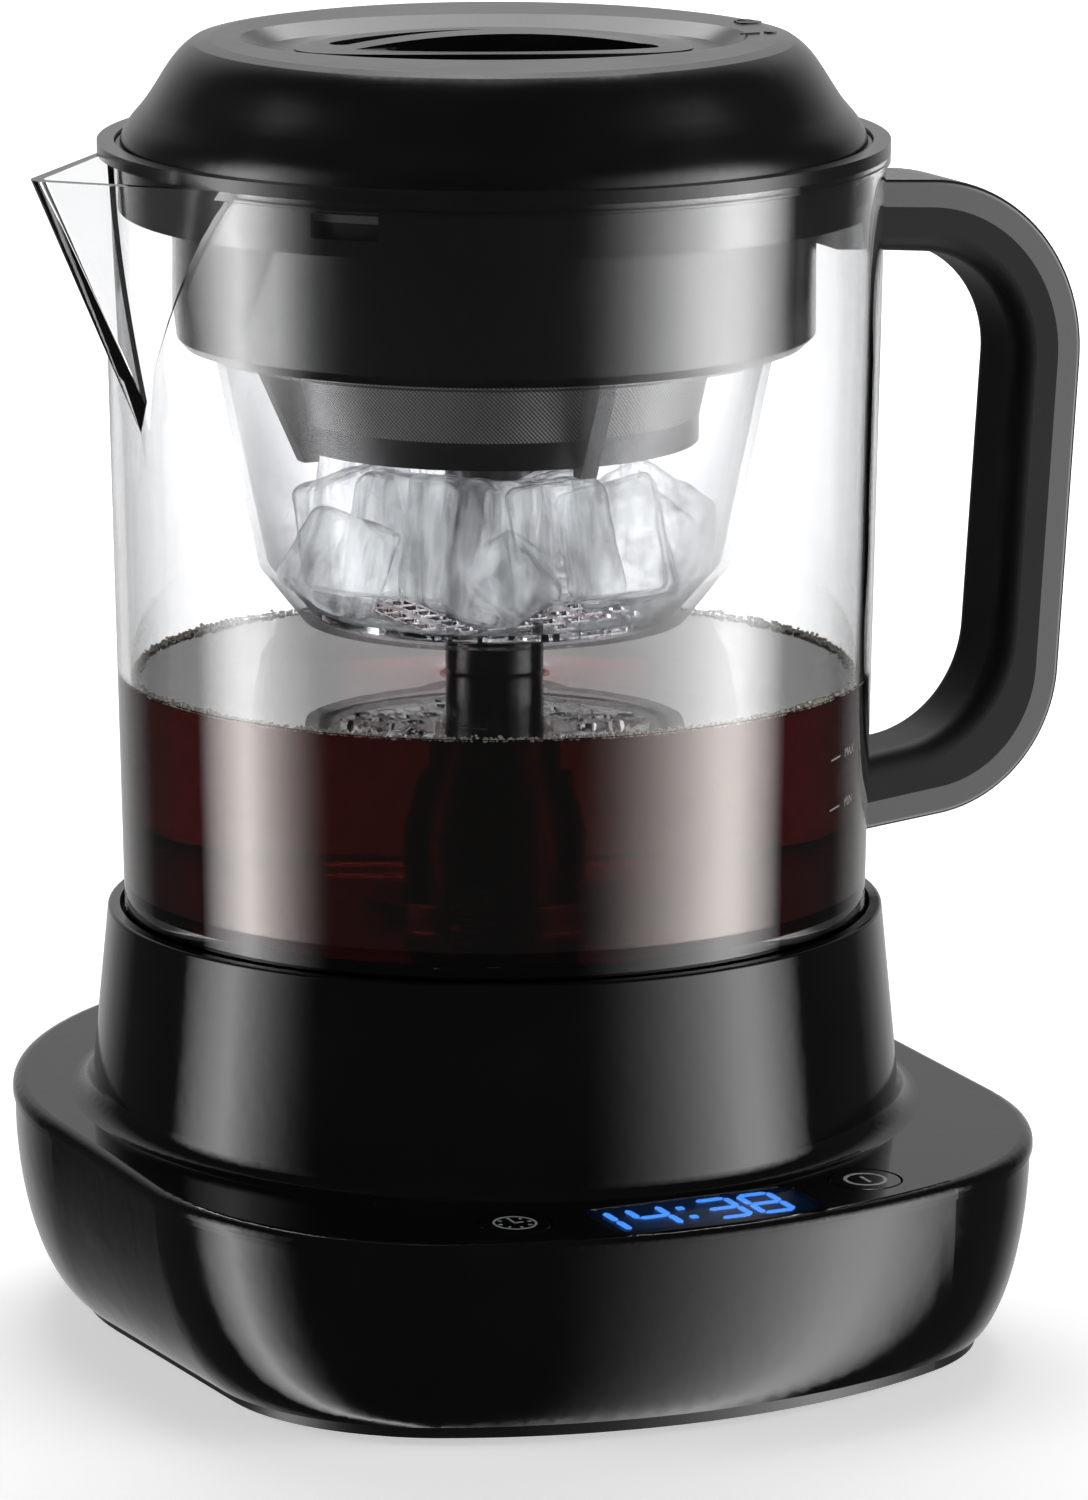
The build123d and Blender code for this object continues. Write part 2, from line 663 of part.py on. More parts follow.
def motor_bearing():
    """Brass bush, flanged under the can's end and through the bracket."""
    under = MOTOR_Z1 - MOTOR_END_T
    body = disc(BUSH_R - SEAT, under, MOTOR_Z1 + 1.0) + disc(BUSH_R + BUSH_FLANGE, under - BUSH_LONG, under)
    return body - disc(SHAFT_R + RUNNING, 0, RIM_Z)


def motor_end_cap():
    """Plastic cap with the lower bearing and two solder tags."""
    body = disc(MOTOR_R - MOTOR_WALL - SEAT, MOTOR_Z0, MOTOR_Z0 + CAP_T) + disc(CAP_HUB_R, MOTOR_Z0 - 2.5, MOTOR_Z0)
    for y in (-TAG_Y, TAG_Y):
        body += Pos(0, y, MOTOR_Z0 - 5) * Box(*TAG_SIZE, align=BOTTOM)
    return body - disc(SHAFT_R + RUNNING, MOTOR_Z0 - 1, RIM_Z)


def motor_field_ring():
    """Ferrite magnet ring fixed in the can."""
    z0, z1 = ARMATURE_Z
    return tube(MOTOR_R - MOTOR_WALL - SEAT, FIELD_BORE, z0 - 1, z1 + 1)


def motor_armature():
    """Wound iron core pressed on the shaft."""
    z0, z1 = ARMATURE_Z
    core = tube(ARMATURE_R, SHAFT_R, z0, z1)
    for k in range(3):
        core -= Rot(0, 0, 120 * k) * Pos(ARMATURE_R - 1.2, 0, z0 - 1) * Box(3.0, 1.6, z1 - z0 + 2, align=BOTTOM)
    return core


def motor_bracket():
    """Three-armed plate that hangs the motor under the cup."""
    body = disc(MOTOR_R - 3.0, MOTOR_Z1, MOTOR_Z1 + BRACKET_T)
    for angle in BRACKET_ARMS:
        x, y = polar(BRACKET_ORBIT, angle)
        arm = Box(BRACKET_ORBIT, BRACKET_ARM_W, BRACKET_T, align=FROM_X)
        body += Pos(0, 0, MOTOR_Z1) * Rot(0, 0, angle) * arm
        body += disc(BRACKET_ARM_W / 2, MOTOR_Z1, MOTOR_Z1 + BRACKET_T, x, y)
        body -= disc(SCREW_R + SEAT, 0, RIM_Z, x, y)
    return body - disc(BUSH_R, 0, RIM_Z)


def bracket_screws():
    places = [polar(BRACKET_ORBIT, angle) for angle in BRACKET_ARMS]
    return Part() + [screw(x, y, MOTOR_Z1, BRACKET_SCREW_LONG) for x, y in places]


def motor_shaft():
    return disc(SHAFT_R, MOTOR_Z0 - 1, ROTOR_BORE_TOP)


def drive_rotor():
    """Disc on the motor's shaft with pockets for four magnets."""
    body = disc(ROTOR_R, ROTOR_Z0, ROTOR_Z1) + disc(ROTOR_HUB_R, ROTOR_Z0 - ROTOR_HUB_DROP, ROTOR_Z0)
    body -= disc(SHAFT_R, 0, ROTOR_BORE_TOP)
    for x, y in magnet_places():
        body -= disc(MAGNET_R, ROTOR_Z1 - MAGNET_DEEP, RIM_Z, x, y)
    return body


def magnet_places():
    return [polar(MAGNET_ORBIT, angle) for angle in (0, 90, 180, 270)]


def drive_magnets():
    return Part() + [disc(MAGNET_R - SEAT, ROTOR_Z1 - MAGNET_DEEP, ROTOR_Z1, x, y) for x, y in magnet_places()]


# Pitcher

def spout_wedge(wall):
    """Rounded triangle at the rim that narrows to a point on the pitcher's wall."""
    tip = SPOUT_TIP_X + wall * 1.6
    half = SPOUT_HALF - wall * 1.1
    plan = make_face(Polyline((tip, 0), (SPOUT_BACK_X, half), (SPOUT_BACK_X, -half), close=True))
    plan = fillet(plan.vertices().sort_by(Axis.X)[0], SPOUT_TIP_R - wall)
    root = Vertex(-jug_r(SPOUT_ROOT_Z) + wall, 0, SPOUT_ROOT_Z + wall * 2.2)
    return loft([Pos(0, 0, JUG_TOP) * plan, root])


def pitcher_jug():
    """Clear tapered jug with a spout, a floor ring for the pump and two tongues for the handle."""
    top_r, foot_r = jug_r(JUG_TOP), jug_r(JUG_FOOT)
    bore = jug_r(JUG_FLOOR) - JUG_WALL
    body = turned((0, JUG_FOOT), (foot_r - 1, JUG_FOOT), (foot_r, JUG_FOOT + 1), (top_r, JUG_TOP), (0, JUG_TOP))
    body += turned((top_r - 1, JUG_TOP - LIP_HIGH), (top_r + LIP_OUT, JUG_TOP - LIP_HIGH + 0.6),
                   (top_r + LIP_OUT, JUG_TOP), (top_r - 1, JUG_TOP))
    body += spout_wedge(0.0)
    body -= turned((0, JUG_FLOOR), (bore - 3, JUG_FLOOR), (bore, JUG_FLOOR + 3),
                   (top_r - JUG_WALL, JUG_TOP), (top_r - JUG_WALL, JUG_TOP + 1), (0, JUG_TOP + 1))
    body -= Pos(0, 0, 0.01) * spout_wedge(SPOUT_WALL)
    body -= disc(SEAT_R_IN, JUG_FOOT - 1, JUG_UNDER)
    body += tube(PUMP_FLANGE_R + 2.2, PUMP_FLANGE_R + 0.2, JUG_FLOOR - 0.5, JUG_FLOOR + 3)
    body -= disc(PIN_R, JUG_FLOOR - PIN_DEEP, JUG_FLOOR + 1)
    for z in TONGUES:
        start = jug_r(z) - 1.2
        body += Pos(start, 0, z) * Box(TONGUE_END - start, TONGUE_W, TONGUE_H, align=FROM_X)
        body -= disc(SCREW_R, z - 1, z + TONGUE_H + 1, HANDLE_SCREW_X, 0)
    return body


def handle_line(depth, top_r, low_r):
    """The handle's C line, moved in from its outer face by depth."""
    lean = (HANDLE_TOP_CORNER[0] - HANDLE_LOW_CORNER[0]) / (HANDLE_TOP_CORNER[1] - HANDLE_LOW_CORNER[1])
    top = (HANDLE_TOP_CORNER[0] - depth * (1 + lean), HANDLE_TOP_CORNER[1] - depth)
    low = (HANDLE_LOW_CORNER[0] - depth * (1 - lean), HANDLE_LOW_CORNER[1] + depth)
    return Plane.XZ * FilletPolyline((HANDLE_ROOT_X, HANDLE_TOP_Z - depth), top, low,
                                     (HANDLE_ROOT_X, HANDLE_LOW_Z + depth), radius=[top_r, low_r])


def handle_band(outer, inner):
    """Flat band between two handle lines, as wide as the handle."""
    ends = [Line(outer @ 0, inner @ 0), Line(outer @ 1, inner @ 1)]
    face = make_face(outer.edges() + inner.edges() + ends)
    return extrude(face, HANDLE_W / 2, dir=(0, 1, 0), both=True)


def edges_along(band, line):
    """The band's long edges beside a handle line."""
    return [e for e in band.edges()
            if line.distance_to(Vertex((e @ 0.5).X, 0, (e @ 0.5).Z)) < 0.05
            and abs(abs((e @ 0.5).Y) - HANDLE_W / 2) < 0.01]


def pitcher_space():
    """The pitcher's wall, its tongues and the handle screws, as room cut from the handle."""
    room = turned((0, 60), (jug_r(60) + SEAT, 60), (jug_r(JUG_TOP) + SEAT, JUG_TOP), (0, JUG_TOP))
    for z in TONGUES:
        room += Pos(HANDLE_ROOT_X, 0, z - TONGUE_FIT) * Box(
            TONGUE_END + 0.2 - HANDLE_ROOT_X, TONGUE_W + 2 * TONGUE_FIT, TONGUE_H + 2 * TONGUE_FIT, align=FROM_X)
        room += disc(SCREW_R + SEAT, z - 6, z + TONGUE_H, HANDLE_SCREW_X, 0)
        room += disc(SCREW_HEAD_R + 0.2, z - 12, z - HANDLE_SCREW_SEAT, HANDLE_SCREW_X, 0)
    return room


def seam_line():
    return handle_line(SHELL_T, HANDLE_TOP_R - SHELL_T, HANDLE_LOW_R - SHELL_T)


def handle_shell():
    """Gloss outer half of the handle."""
    outer = handle_line(0.0, HANDLE_TOP_R, HANDLE_LOW_R)
    band = handle_band(outer, seam_line())
    return fillet(edges_along(band, outer), SHELL_ROUND) - pitcher_space()


def handle_grip():
    """Soft-edged inner half of the handle."""
    inner = handle_line(HANDLE_T, GRIP_TOP_R, GRIP_LOW_R)
    band = handle_band(seam_line(), inner)
    return fillet(edges_along(band, inner), GRIP_ROUND) - pitcher_space()


def handle_screws():
    return Part() + [screw(HANDLE_SCREW_X, 0, z - HANDLE_SCREW_SEAT, HANDLE_SCREW_LONG) for z in TONGUES]


# Pump and riser

def impeller_pin():
    return disc(PIN_R - SEAT, JUG_FLOOR - PIN_DEEP, PIN_TOP)


def pump_housing():
    """Bell over the impeller with inlet arches round its foot and a neck that holds the riser."""
    body = turned((0, JUG_FLOOR), (PUMP_FLANGE_R, JUG_FLOOR), (PUMP_FLANGE_R, JUG_FLOOR + PUMP_FLANGE_T),
                  (PUMP_R, JUG_FLOOR + PUMP_FLANGE_T), (PUMP_R, PUMP_SHOULDER),
                  (RISER_R + PUMP_NECK_WALL, PUMP_TOP), (0, PUMP_TOP))
    bore = PUMP_R - PUMP_WALL
    body -= turned((0, JUG_FLOOR - 1), (bore, JUG_FLOOR - 1), (bore, PUMP_SHOULDER - 1),
                   (RISER_BORE, RISER_FOOT), (0, RISER_FOOT))
    body -= disc(RISER_R + SEAT, RISER_FOOT, PUMP_TOP + 1)
    wide, high = PUMP_INLET
    for angle in (45, 135):
        body -= Rot(0, 0, angle) * Pos(0, 0, JUG_FLOOR) * Box(3 * PUMP_FLANGE_R, wide, high, align=BOTTOM)
    return body


def riser_tube():
    return tube(RISER_R, RISER_BORE, RISER_FOOT, RISER_TOP)


def impeller():
    """Hub with six vanes over a pocket for its ring magnet."""
    vane_z = IMPELLER_Z + RING_MAGNET_T + 1.5
    body = disc(IMPELLER_R, IMPELLER_Z, vane_z) + disc(IMPELLER_HUB_R, IMPELLER_Z, vane_z + VANE_H)
    vane = Pos(0, 0, vane_z - 0.5) * Box(IMPELLER_R - 0.3, VANE_T, VANE_H, align=FROM_X)
    body += [Rot(0, 0, 60 * k) * vane for k in range(6)]
    body -= tube(IMPELLER_R - IMPELLER_RIM, IMPELLER_HUB_R, IMPELLER_Z - 1, IMPELLER_Z + RING_MAGNET_T)
    return body - disc(PIN_R - SEAT + RUNNING, 0, PUMP_TOP)


def impeller_magnet():
    return tube(IMPELLER_R - IMPELLER_RIM - SEAT, IMPELLER_HUB_R + SEAT, IMPELLER_Z, IMPELLER_Z + RING_MAGNET_T)


# Brew basket, filter and ice basket

def brew_basket():
    """Flange ring, upper band with four windows, and the drum below its ledge."""
    floor_z = DRUM_BOTTOM + DRUM_FLOOR_T
    body = turned((BAND_BORE, LEDGE_Z), (DRUM_R, LEDGE_Z), (DRUM_R, DRUM_BOTTOM + DRUM_ROUND),
                  (DRUM_R - DRUM_ROUND, DRUM_BOTTOM), (DRUM_MOUTH, DRUM_BOTTOM), (DRUM_MOUTH, floor_z),
                  (DRUM_BORE, floor_z), (DRUM_BORE, SHELF_Z - SHELF_IN - 1), (DRUM_BORE - SHELF_IN, SHELF_Z - 1),
                  (DRUM_BORE - SHELF_IN, SHELF_Z), (DRUM_BORE, SHELF_Z), (DRUM_BORE, LEDGE_Z + LEDGE_T),
                  (BAND_BORE, LEDGE_Z + LEDGE_T))
    body += turned((BAND_BORE, LEDGE_Z), (BAND_R, LEDGE_Z), (BAND_R, JUG_TOP), (RING_R, JUG_TOP),
                   (RING_R, RING_TOP), (RING_R_IN, RING_TOP), (RING_R_IN, STEP_Z), (BAND_BORE, STEP_Z))
    deep, wide, high = WINDOW_SIZE
    for angle in WINDOW_ANGLES:
        body -= Rot(0, 0, angle) * Pos(BAND_R, 0, WINDOW_Z) * Box(deep, wide, high)
    return body


def filter_frame():
    """Flange, four fins, foot ring, spokes and the sleeve round the riser."""
    body = tube(FILTER_R, MESH_R_TOP, SHELF_Z, SHELF_Z + FILTER_FLANGE_T)
    fin = make_face(Plane.XZ * Polyline(
        (MESH_R_LOW - 2.0, FILTER_Z0 - 2.0), (MESH_R_LOW + 1.2, FILTER_Z0 - 2.0), (MESH_R_LOW + 9.5, FILTER_Z0 + 16),
        (MESH_R_TOP + 5.0, SHELF_Z + 0.5), (MESH_R_TOP, SHELF_Z + 0.5), (MESH_R_LOW, FILTER_Z1),
        (MESH_R_LOW - 2.0, FILTER_Z1 - 1.0), close=True))
    fin = extrude(fin, FIN_T / 2, both=True)
    wide, high = SPOKE_SIZE
    spoke = Pos(0, 0, FILTER_Z0) * Box(FILTER_RING_BORE + 1, wide, high, align=FROM_X)
    body += [Rot(0, 0, angle) * fin for angle in (0, 90, 180, 270)]
    body -= turned((0, FILTER_Z1), (MESH_R_LOW, FILTER_Z1), (MESH_R_TOP, SHELF_Z), (MESH_R_TOP, LID_TOP),
                   (0, LID_TOP))
    body += tube(FILTER_RING_R, FILTER_RING_BORE, FILTER_Z0, FILTER_Z1)
    body += [Rot(0, 0, angle) * spoke for angle in (0, 90, 180, 270)]
    body += disc(SLEEVE_R, FILTER_Z0, FILTER_SLEEVE_TOP)
    return body - disc(SLEEVE_BORE, 0, LID_TOP)


def filter_mesh():
    """Fine steel mesh, as one thin skin: cone, foot wall and floor."""
    foot, skin = FILTER_RING_BORE, MESH_T
    return turned((SLEEVE_R, MESH_FLOOR_Z), (foot, MESH_FLOOR_Z), (foot, FILTER_Z1), (MESH_R_LOW, FILTER_Z1),
                  (MESH_R_TOP, SHELF_Z), (MESH_R_TOP, SHELF_Z + 1), (MESH_R_TOP - skin, SHELF_Z + 1),
                  (MESH_R_TOP - skin, SHELF_Z), (MESH_R_LOW - skin, FILTER_Z1 + skin),
                  (foot - skin, FILTER_Z1 + skin), (foot - skin, MESH_FLOOR_Z + skin), (SLEEVE_R, MESH_FLOOR_Z + skin))


def ice_basket():
    """Clear tapered cup whose shoulder meets the drum from below."""
    lip = ICE_RIM_R - ICE_WALL
    foot_z = ICE_BOTTOM + ICE_LEDGE_T
    return turned((ICE_RIM_R, ICE_RIM_TOP), (ICE_RIM_R, DRUM_BOTTOM), (ICE_SHOULDER_R, DRUM_BOTTOM),
                  (ICE_SHOULDER_R, ICE_SHOULDER_Z), (ICE_R_TOP, ICE_SHOULDER_Z), (ICE_R_MID, ICE_MID_Z),
                  (ICE_R_LOW, ICE_BOTTOM), (ICE_R_LOW - ICE_LEDGE, ICE_BOTTOM), (ICE_R_LOW - ICE_LEDGE, foot_z),
                  (ICE_R_LOW - 1.5, foot_z), (ICE_R_LOW - 1.5, foot_z + 0.7),
                  (ICE_R_MID - ICE_WALL, ICE_MID_Z + 0.8), (lip - 0.6, DRUM_BOTTOM - 1.0), (lip, ICE_RIM_TOP))


def ice_grid():
    """Perforated floor with the sleeve that the riser passes through."""
    z0 = ICE_BOTTOM + ICE_LEDGE_T
    radius = ICE_R_LOW - 1.5 - SEAT
    body = disc(radius, z0, z0 + GRID_T)
    hole = Pos(0, 0, z0 - 1) * Box(GRID_HOLE, GRID_HOLE, GRID_T + 2, align=BOTTOM)
    steps = range(-5, 6)
    places = [(GRID_PITCH * i, GRID_PITCH * j) for i in steps for j in steps]
    body -= [Pos(x, y, 0) * hole for x, y in places if SLEEVE_R + 3.4 < sqrt(x * x + y * y) < radius - 6.4]
    body += disc(SLEEVE_R, ICE_BOTTOM, GRID_SLEEVE_TOP)
    return body - disc(SLEEVE_BORE, 0, LID_TOP)


# Lid

def lid_inner_plate():
    """Plug that stays still while the dome turns: rim, gasket groove and hub."""
    floor_z = PLUG_BOTTOM + PLUG_FLOOR_T
    rim_r = RING_R_IN - FIT
    return turned((SPRAY_R + 0.2, PLUG_BOTTOM), (PLUG_R, PLUG_BOTTOM), (PLUG_R, GROOVE_Z[0]),
                  (GROOVE_R, GROOVE_Z[0]), (GROOVE_R, GROOVE_Z[1]), (PLUG_R, GROOVE_Z[1]), (PLUG_R, STEP_Z),
                  (rim_r, STEP_Z), (rim_r, DOME_FOOT), (PLUG_BORE, DOME_FOOT), (PLUG_BORE, floor_z),
                  (HUB_R, floor_z), (HUB_R, HUB_ROOF[1]), (PIVOT_BOSS_R, HUB_ROOF[1]), (PIVOT_BOSS_R, PIVOT_Z),
                  (PIVOT_R + RUNNING, PIVOT_Z), (PIVOT_R + RUNNING, HUB_ROOF[0]), (HUB_BORE, HUB_ROOF[0]),
                  (HUB_BORE, floor_z), (SPRAY_R + 0.2, floor_z))


def lid_gasket():
    """Silicone ring in the plug's groove."""
    return tube(BAND_BORE - FIT, GROOVE_R, GROOVE_Z[0], GROOVE_Z[1])


def spray_head():
    """Closed chamber over the riser's open end, with holes in its floor that wet the grounds."""
    flange_z = PLUG_BOTTOM + PLUG_FLOOR_T
    floor_top = PLUG_BOTTOM + SPRAY_WALL
    body = turned((SLEEVE_BORE, PLUG_BOTTOM), (SPRAY_R, PLUG_BOTTOM), (SPRAY_R, flange_z),
                  (SPRAY_FLANGE_R, flange_z), (SPRAY_FLANGE_R, flange_z + SPRAY_WALL),
                  (SPRAY_R, flange_z + SPRAY_WALL), (SPRAY_R, SPRAY_TOP), (0, SPRAY_TOP),
                  (0, SPRAY_TOP - SPRAY_WALL), (SPRAY_R - SPRAY_WALL, SPRAY_TOP - SPRAY_WALL),
                  (SPRAY_R - SPRAY_WALL, floor_top), (SLEEVE_BORE, floor_top))
    for k in range(SPRAY_HOLES):
        x, y = polar((SLEEVE_BORE + SPRAY_R) / 2, 360 * k / SPRAY_HOLES)
        body -= disc(1.2, PLUG_BOTTOM - 1, floor_top + 1, x, y)
    return body


def dome_profile(inset):
    """Half outline of the dome, closed along the axis and the foot."""
    foot, shoulder, edge = DOME_R - inset, DOME_SHOULDER[0] - inset, DOME_TOP_R - inset
    shoulder_z, edge_z = DOME_SHOULDER[1] - inset / 3, DOME_TOP_EDGE_Z - inset
    side = Spline((foot, DOME_FOOT), (shoulder, shoulder_z), (edge, edge_z), tangents=[(-0.12, 1), (-1, 0.62)])
    rest = Polyline((edge, edge_z), (LID_FLAT_R - inset, LID_TOP - inset), (0, LID_TOP - inset),
                    (0, DOME_FOOT), (foot, DOME_FOOT))
    return make_face(Plane.XZ * (Curve() + [side, rest]))


def on_lid(z):
    """Place on the lid's axis with X along its grip."""
    return Pos(0, 0, z) * Rot(0, 0, GRIP_TURN)


def lid_dome():
    """Domed shell with an oval dish and the opening for the grip's insert."""
    body = revolve(dome_profile(0.0), Axis.Z)
    hollow = revolve(dome_profile(DOME_WALL), Axis.Z)
    hollow -= disc(DOME_R, DISH_Z - DOME_WALL, BIG * 5)
    body -= hollow
    rim = on_lid(LID_TOP + 0.01) * Ellipse(DISH_A, DISH_B)
    floor = on_lid(DISH_Z) * Ellipse(DISH_A - DISH_SLOPE, DISH_B - DISH_SLOPE)
    body -= loft([floor.faces()[0], rim.faces()[0]])
    return body - on_lid(DOME_FOOT) * extrude(Ellipse(INSERT_A + SEAT, INSERT_B + SEAT), 30)


def pit(side):
    """One finger pit beside the bar: a D with soft corners."""
    near = side * BAR_W / 2
    ends = (-PIT_HALF, near), (0, near + side * PIT_WIDE), (PIT_HALF, near)
    face = make_face(Curve() + [ThreePointArc(*ends), Line(ends[2], ends[0])])
    face = Pos(-side * PIT_SHIFT, 0) * fillet(face.vertices(), PIT_CORNER)
    body = extrude(face, LID_TOP - PIT_FLOOR + 5)
    return fillet(body.edges().group_by(Axis.Z)[0], 3.0)


def lid_handle():
    """Oval insert with a finger pit each side of an arched bar."""
    body = on_lid(INSERT_BOTTOM) * extrude(Ellipse(INSERT_A, INSERT_B), INSERT_CROWN - INSERT_BOTTOM)
    crown = on_lid(INSERT_CROWN - INSERT_CROWN_R) * Rot(90, 0, 0) * Cylinder(INSERT_CROWN_R, 60)
    body &= crown
    flange = Ellipse(INSERT_A + INSERT_FLANGE, INSERT_B + INSERT_FLANGE)
    body += on_lid(DISH_Z - DOME_WALL - INSERT_FLANGE_T) * extrude(flange, INSERT_FLANGE_T)
    turn = Rot(0, 0, BAR_SKEW)
    body -= [on_lid(PIT_FLOOR) * turn * pit(side) for side in (-1, 1)]
    bar = Box(BAR_LONG, BAR_W, BAR_TOP - PIT_FLOOR, align=BOTTOM)
    arch = Pos(0, 0, BAR_TOP - PIT_FLOOR - BAR_ARCH_R) * Rot(90, 0, 0) * Cylinder(BAR_ARCH_R, BAR_W)
    body += on_lid(PIT_FLOOR) * turn * (bar & arch)
    body += disc(PIVOT_BOSS_R, PIVOT_Z, INSERT_BOTTOM + 0.5)
    return body - disc(PIVOT_R + SEAT, PIVOT_Z - 1, PIVOT_SCREW_TOP)


def lid_pivot_screw():
    """Screw from below that holds the dome to the hub and lets it turn."""
    head_z = HUB_ROOF[0] - 2.2
    body = disc(4.0, head_z, HUB_ROOF[0]) + disc(PIVOT_R, HUB_ROOF[0], PIVOT_SCREW_TOP)
    return body - Pos(0, 0, head_z) * (Box(4.2, 1.0, 2.0) + Box(1.0, 4.2, 2.0))


NODES = (
    base_top_cover, base_lower_housing, bottom_plate, rubber_foot, plate_screws, seat_ring, cord_gland,
    control_board, board_screws, button_switches, led_display, display_digits, display_window,
    motor_can, motor_bearing, motor_end_cap, motor_field_ring, motor_bracket, bracket_screws,
    timer_button, power_button,
    motor_shaft, motor_armature, drive_rotor, drive_magnets,
    pitcher_jug, handle_shell, handle_grip, handle_screws, impeller_pin, pump_housing, riser_tube,
    impeller, impeller_magnet,
    brew_basket, filter_frame, filter_mesh, ice_basket, ice_grid,
    lid_inner_plate, lid_gasket, spray_head,
    lid_dome, lid_handle, lid_pivot_screw,
)


def main():
    os.makedirs("parts", exist_ok=True)
    for make in NODES:
        export_step(make(), f"parts/{make.__name__}.step")


if __name__ == "__main__":
    main()
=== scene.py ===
"""Cold brew coffee maker: finishes for the carried-over parts, the brew, the ice and the printed marks,
with a pale floor, studio light and a camera at the photograph's angle."""
import math
import random

import bpy
from bpy.props import FloatProperty, FloatVectorProperty, IntProperty, PointerProperty
from mathutils import Matrix, Vector


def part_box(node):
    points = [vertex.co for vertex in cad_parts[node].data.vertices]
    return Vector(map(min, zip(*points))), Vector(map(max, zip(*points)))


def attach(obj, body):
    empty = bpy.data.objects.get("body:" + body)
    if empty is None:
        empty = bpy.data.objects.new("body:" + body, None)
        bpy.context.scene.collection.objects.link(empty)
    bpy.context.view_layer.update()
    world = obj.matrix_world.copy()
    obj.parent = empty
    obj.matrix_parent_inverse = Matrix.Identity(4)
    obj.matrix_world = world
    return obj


bl_info = {
    "name": "Cold brew coffee maker",
    "version": (1, 0, 0),
    "blender": (4, 5, 0),
    "location": "View3D > Sidebar > Coffee maker",
    "description": "Finishes, brew, ice, printed marks, floor, light and camera for a cold brew maker",
    "category": "Object",
}

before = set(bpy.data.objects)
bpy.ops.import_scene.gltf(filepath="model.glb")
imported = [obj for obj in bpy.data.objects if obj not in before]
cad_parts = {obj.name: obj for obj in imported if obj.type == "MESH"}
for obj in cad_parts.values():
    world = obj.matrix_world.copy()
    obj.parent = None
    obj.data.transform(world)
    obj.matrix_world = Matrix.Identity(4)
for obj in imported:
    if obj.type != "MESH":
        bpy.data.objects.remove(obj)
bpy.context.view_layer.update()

MM = 0.001
PHOTO_SIZE = (1088, 1500)   # width and height of the photograph in pixels
SENSOR = 36.0               # millimetres
CLIP = (0.05, 20.0)         # what the camera sees, in metres

# Places that the parts give, in millimetres
JUG_FLOOR = 90.0
JUG_R_AT_RIM, JUG_RIM_Z, JUG_DRAFT, JUG_WALL = 76.3, 87.5, 0.0212, 2.5
DECK_Z, DECK_SLOPE = 47.5, 0.039
BUTTON_X, BUTTON_Y = 39.0, -90.0
WINDOW_X, WINDOW_Y = -1.0, -96.0
RISER_R = 10.1
PUMP_FLANGE_R, PUMP_BODY_R, PUMP_NECK_R = 18.0, 14.0, 11.6
PUMP_FLANGE_TOP, PUMP_SHOULDER = 92.0, 107.0
LID_MARK_X, LID_MARK_Y = 56.5, -3.0
MESH_R = 46.0

# The brew, with its lengths in millimetres
FLOOR_CORNER = 3.0                  # the jug's rounded inner corner
SURFACE_RINGS = (60.0, 40.0, 25.0)  # rings of faces across the flat of the surface
PUMP_GAP = 0.1                      # the brew stops this far below the pump's top and shoulder
SPIN_STEPS = 144                    # faces round the brew
BUBBLE_SEED = 11                    # starts the random draws of the bubbles
BUBBLE_CUT = -0.35                  # where a bubble's ball is cut off, as a share of its radius
# How far from the wall and the riser the brew's edge is, and how much of its climb is left there
WALL_CLIMB = ((0.0, 1.0), (0.5, 0.45), (1.3, 0.12), (2.6, 0.0))
RISER_CLIMB = ((4.2, 0.0), (2.2, 0.15), (0.9, 0.5), (0.0, 1.2))

# The signs, in millimetres
SUNK = 0.02                         # the lid's signs start this far under its top
INK_LIFT = 0.01                     # the buttons' ink starts this far over them
LOCK_LONG, LOCK_WIDE = 5.2, 3.4
SHACKLE_R, SHACKLE_LINE, SHACKLE_Y = 2.1, 0.6, 2.2
TURN_BAR_X, TURN_BAR_LONG, TURN_BAR_WIDE = -8.0, 4.4, 0.8
TURN_STOP_X, TURN_STOP_SIDE = -3.4, 2.4
TURN_SIGN_Y = -16.0

# The studio: angles from straight behind the pitcher in radians, heights as the sine of the elevation
BACKDROP_EDGE, BACKDROP_END = 0.4, 0.85
BACKDROP_GLOSS = 0.5
LEFT_LIGHT = (1.47, 1.72, 2.25)
RIGHT_LIGHT = (1.52, 1.86, 2.72)
LIGHT_EDGE = (-0.12, 0.22)   # where a side light starts and where it is full, from its outer angle
LIGHT_TOP, LIGHT_FADE = 0.7, 0.25
LIGHT_STRENGTH = 6.5
ROOM = 0.05
LAMP_AWAY, LAMP_HEIGHT = 0.9, 1.4
LAMP_SIZE, LAMP_POWER = 1.0, 14.0
FLOOR_SIZE = 6.0
FLOOR_LIFT, FLOOR_LIFT_FAR = 0.5, 1.0
SHADOW_REACH = (0.25, 1.2)
# share of the ice drawn as a see-through layer with painted grey shade on the ripples' flanks; the rest
# refracts
ICE_CLEARNESS = 0.55


def linear(hex_colour):
    """Linear RGB of an sRGB hex value."""
    shares = [int(hex_colour[i:i + 2], 16) / 255 for i in (0, 2, 4)]
    return tuple(s / 12.92 if s <= 0.04045 else ((s + 0.055) / 1.055) ** 2.4 for s in shares)


def length(name, millimetres, description, low=0.0, high=1000.0):
    """A length in metres with a default in millimetres."""
    return FloatProperty(name=name, description=description, default=millimetres * MM,
                         min=low * MM, max=high * MM, unit="LENGTH", precision=5)


def colour(name, hex_colour, description):
    return FloatVectorProperty(name=name, description=description, default=linear(hex_colour),
                               subtype="COLOR", size=3, min=0.0, max=1.0)


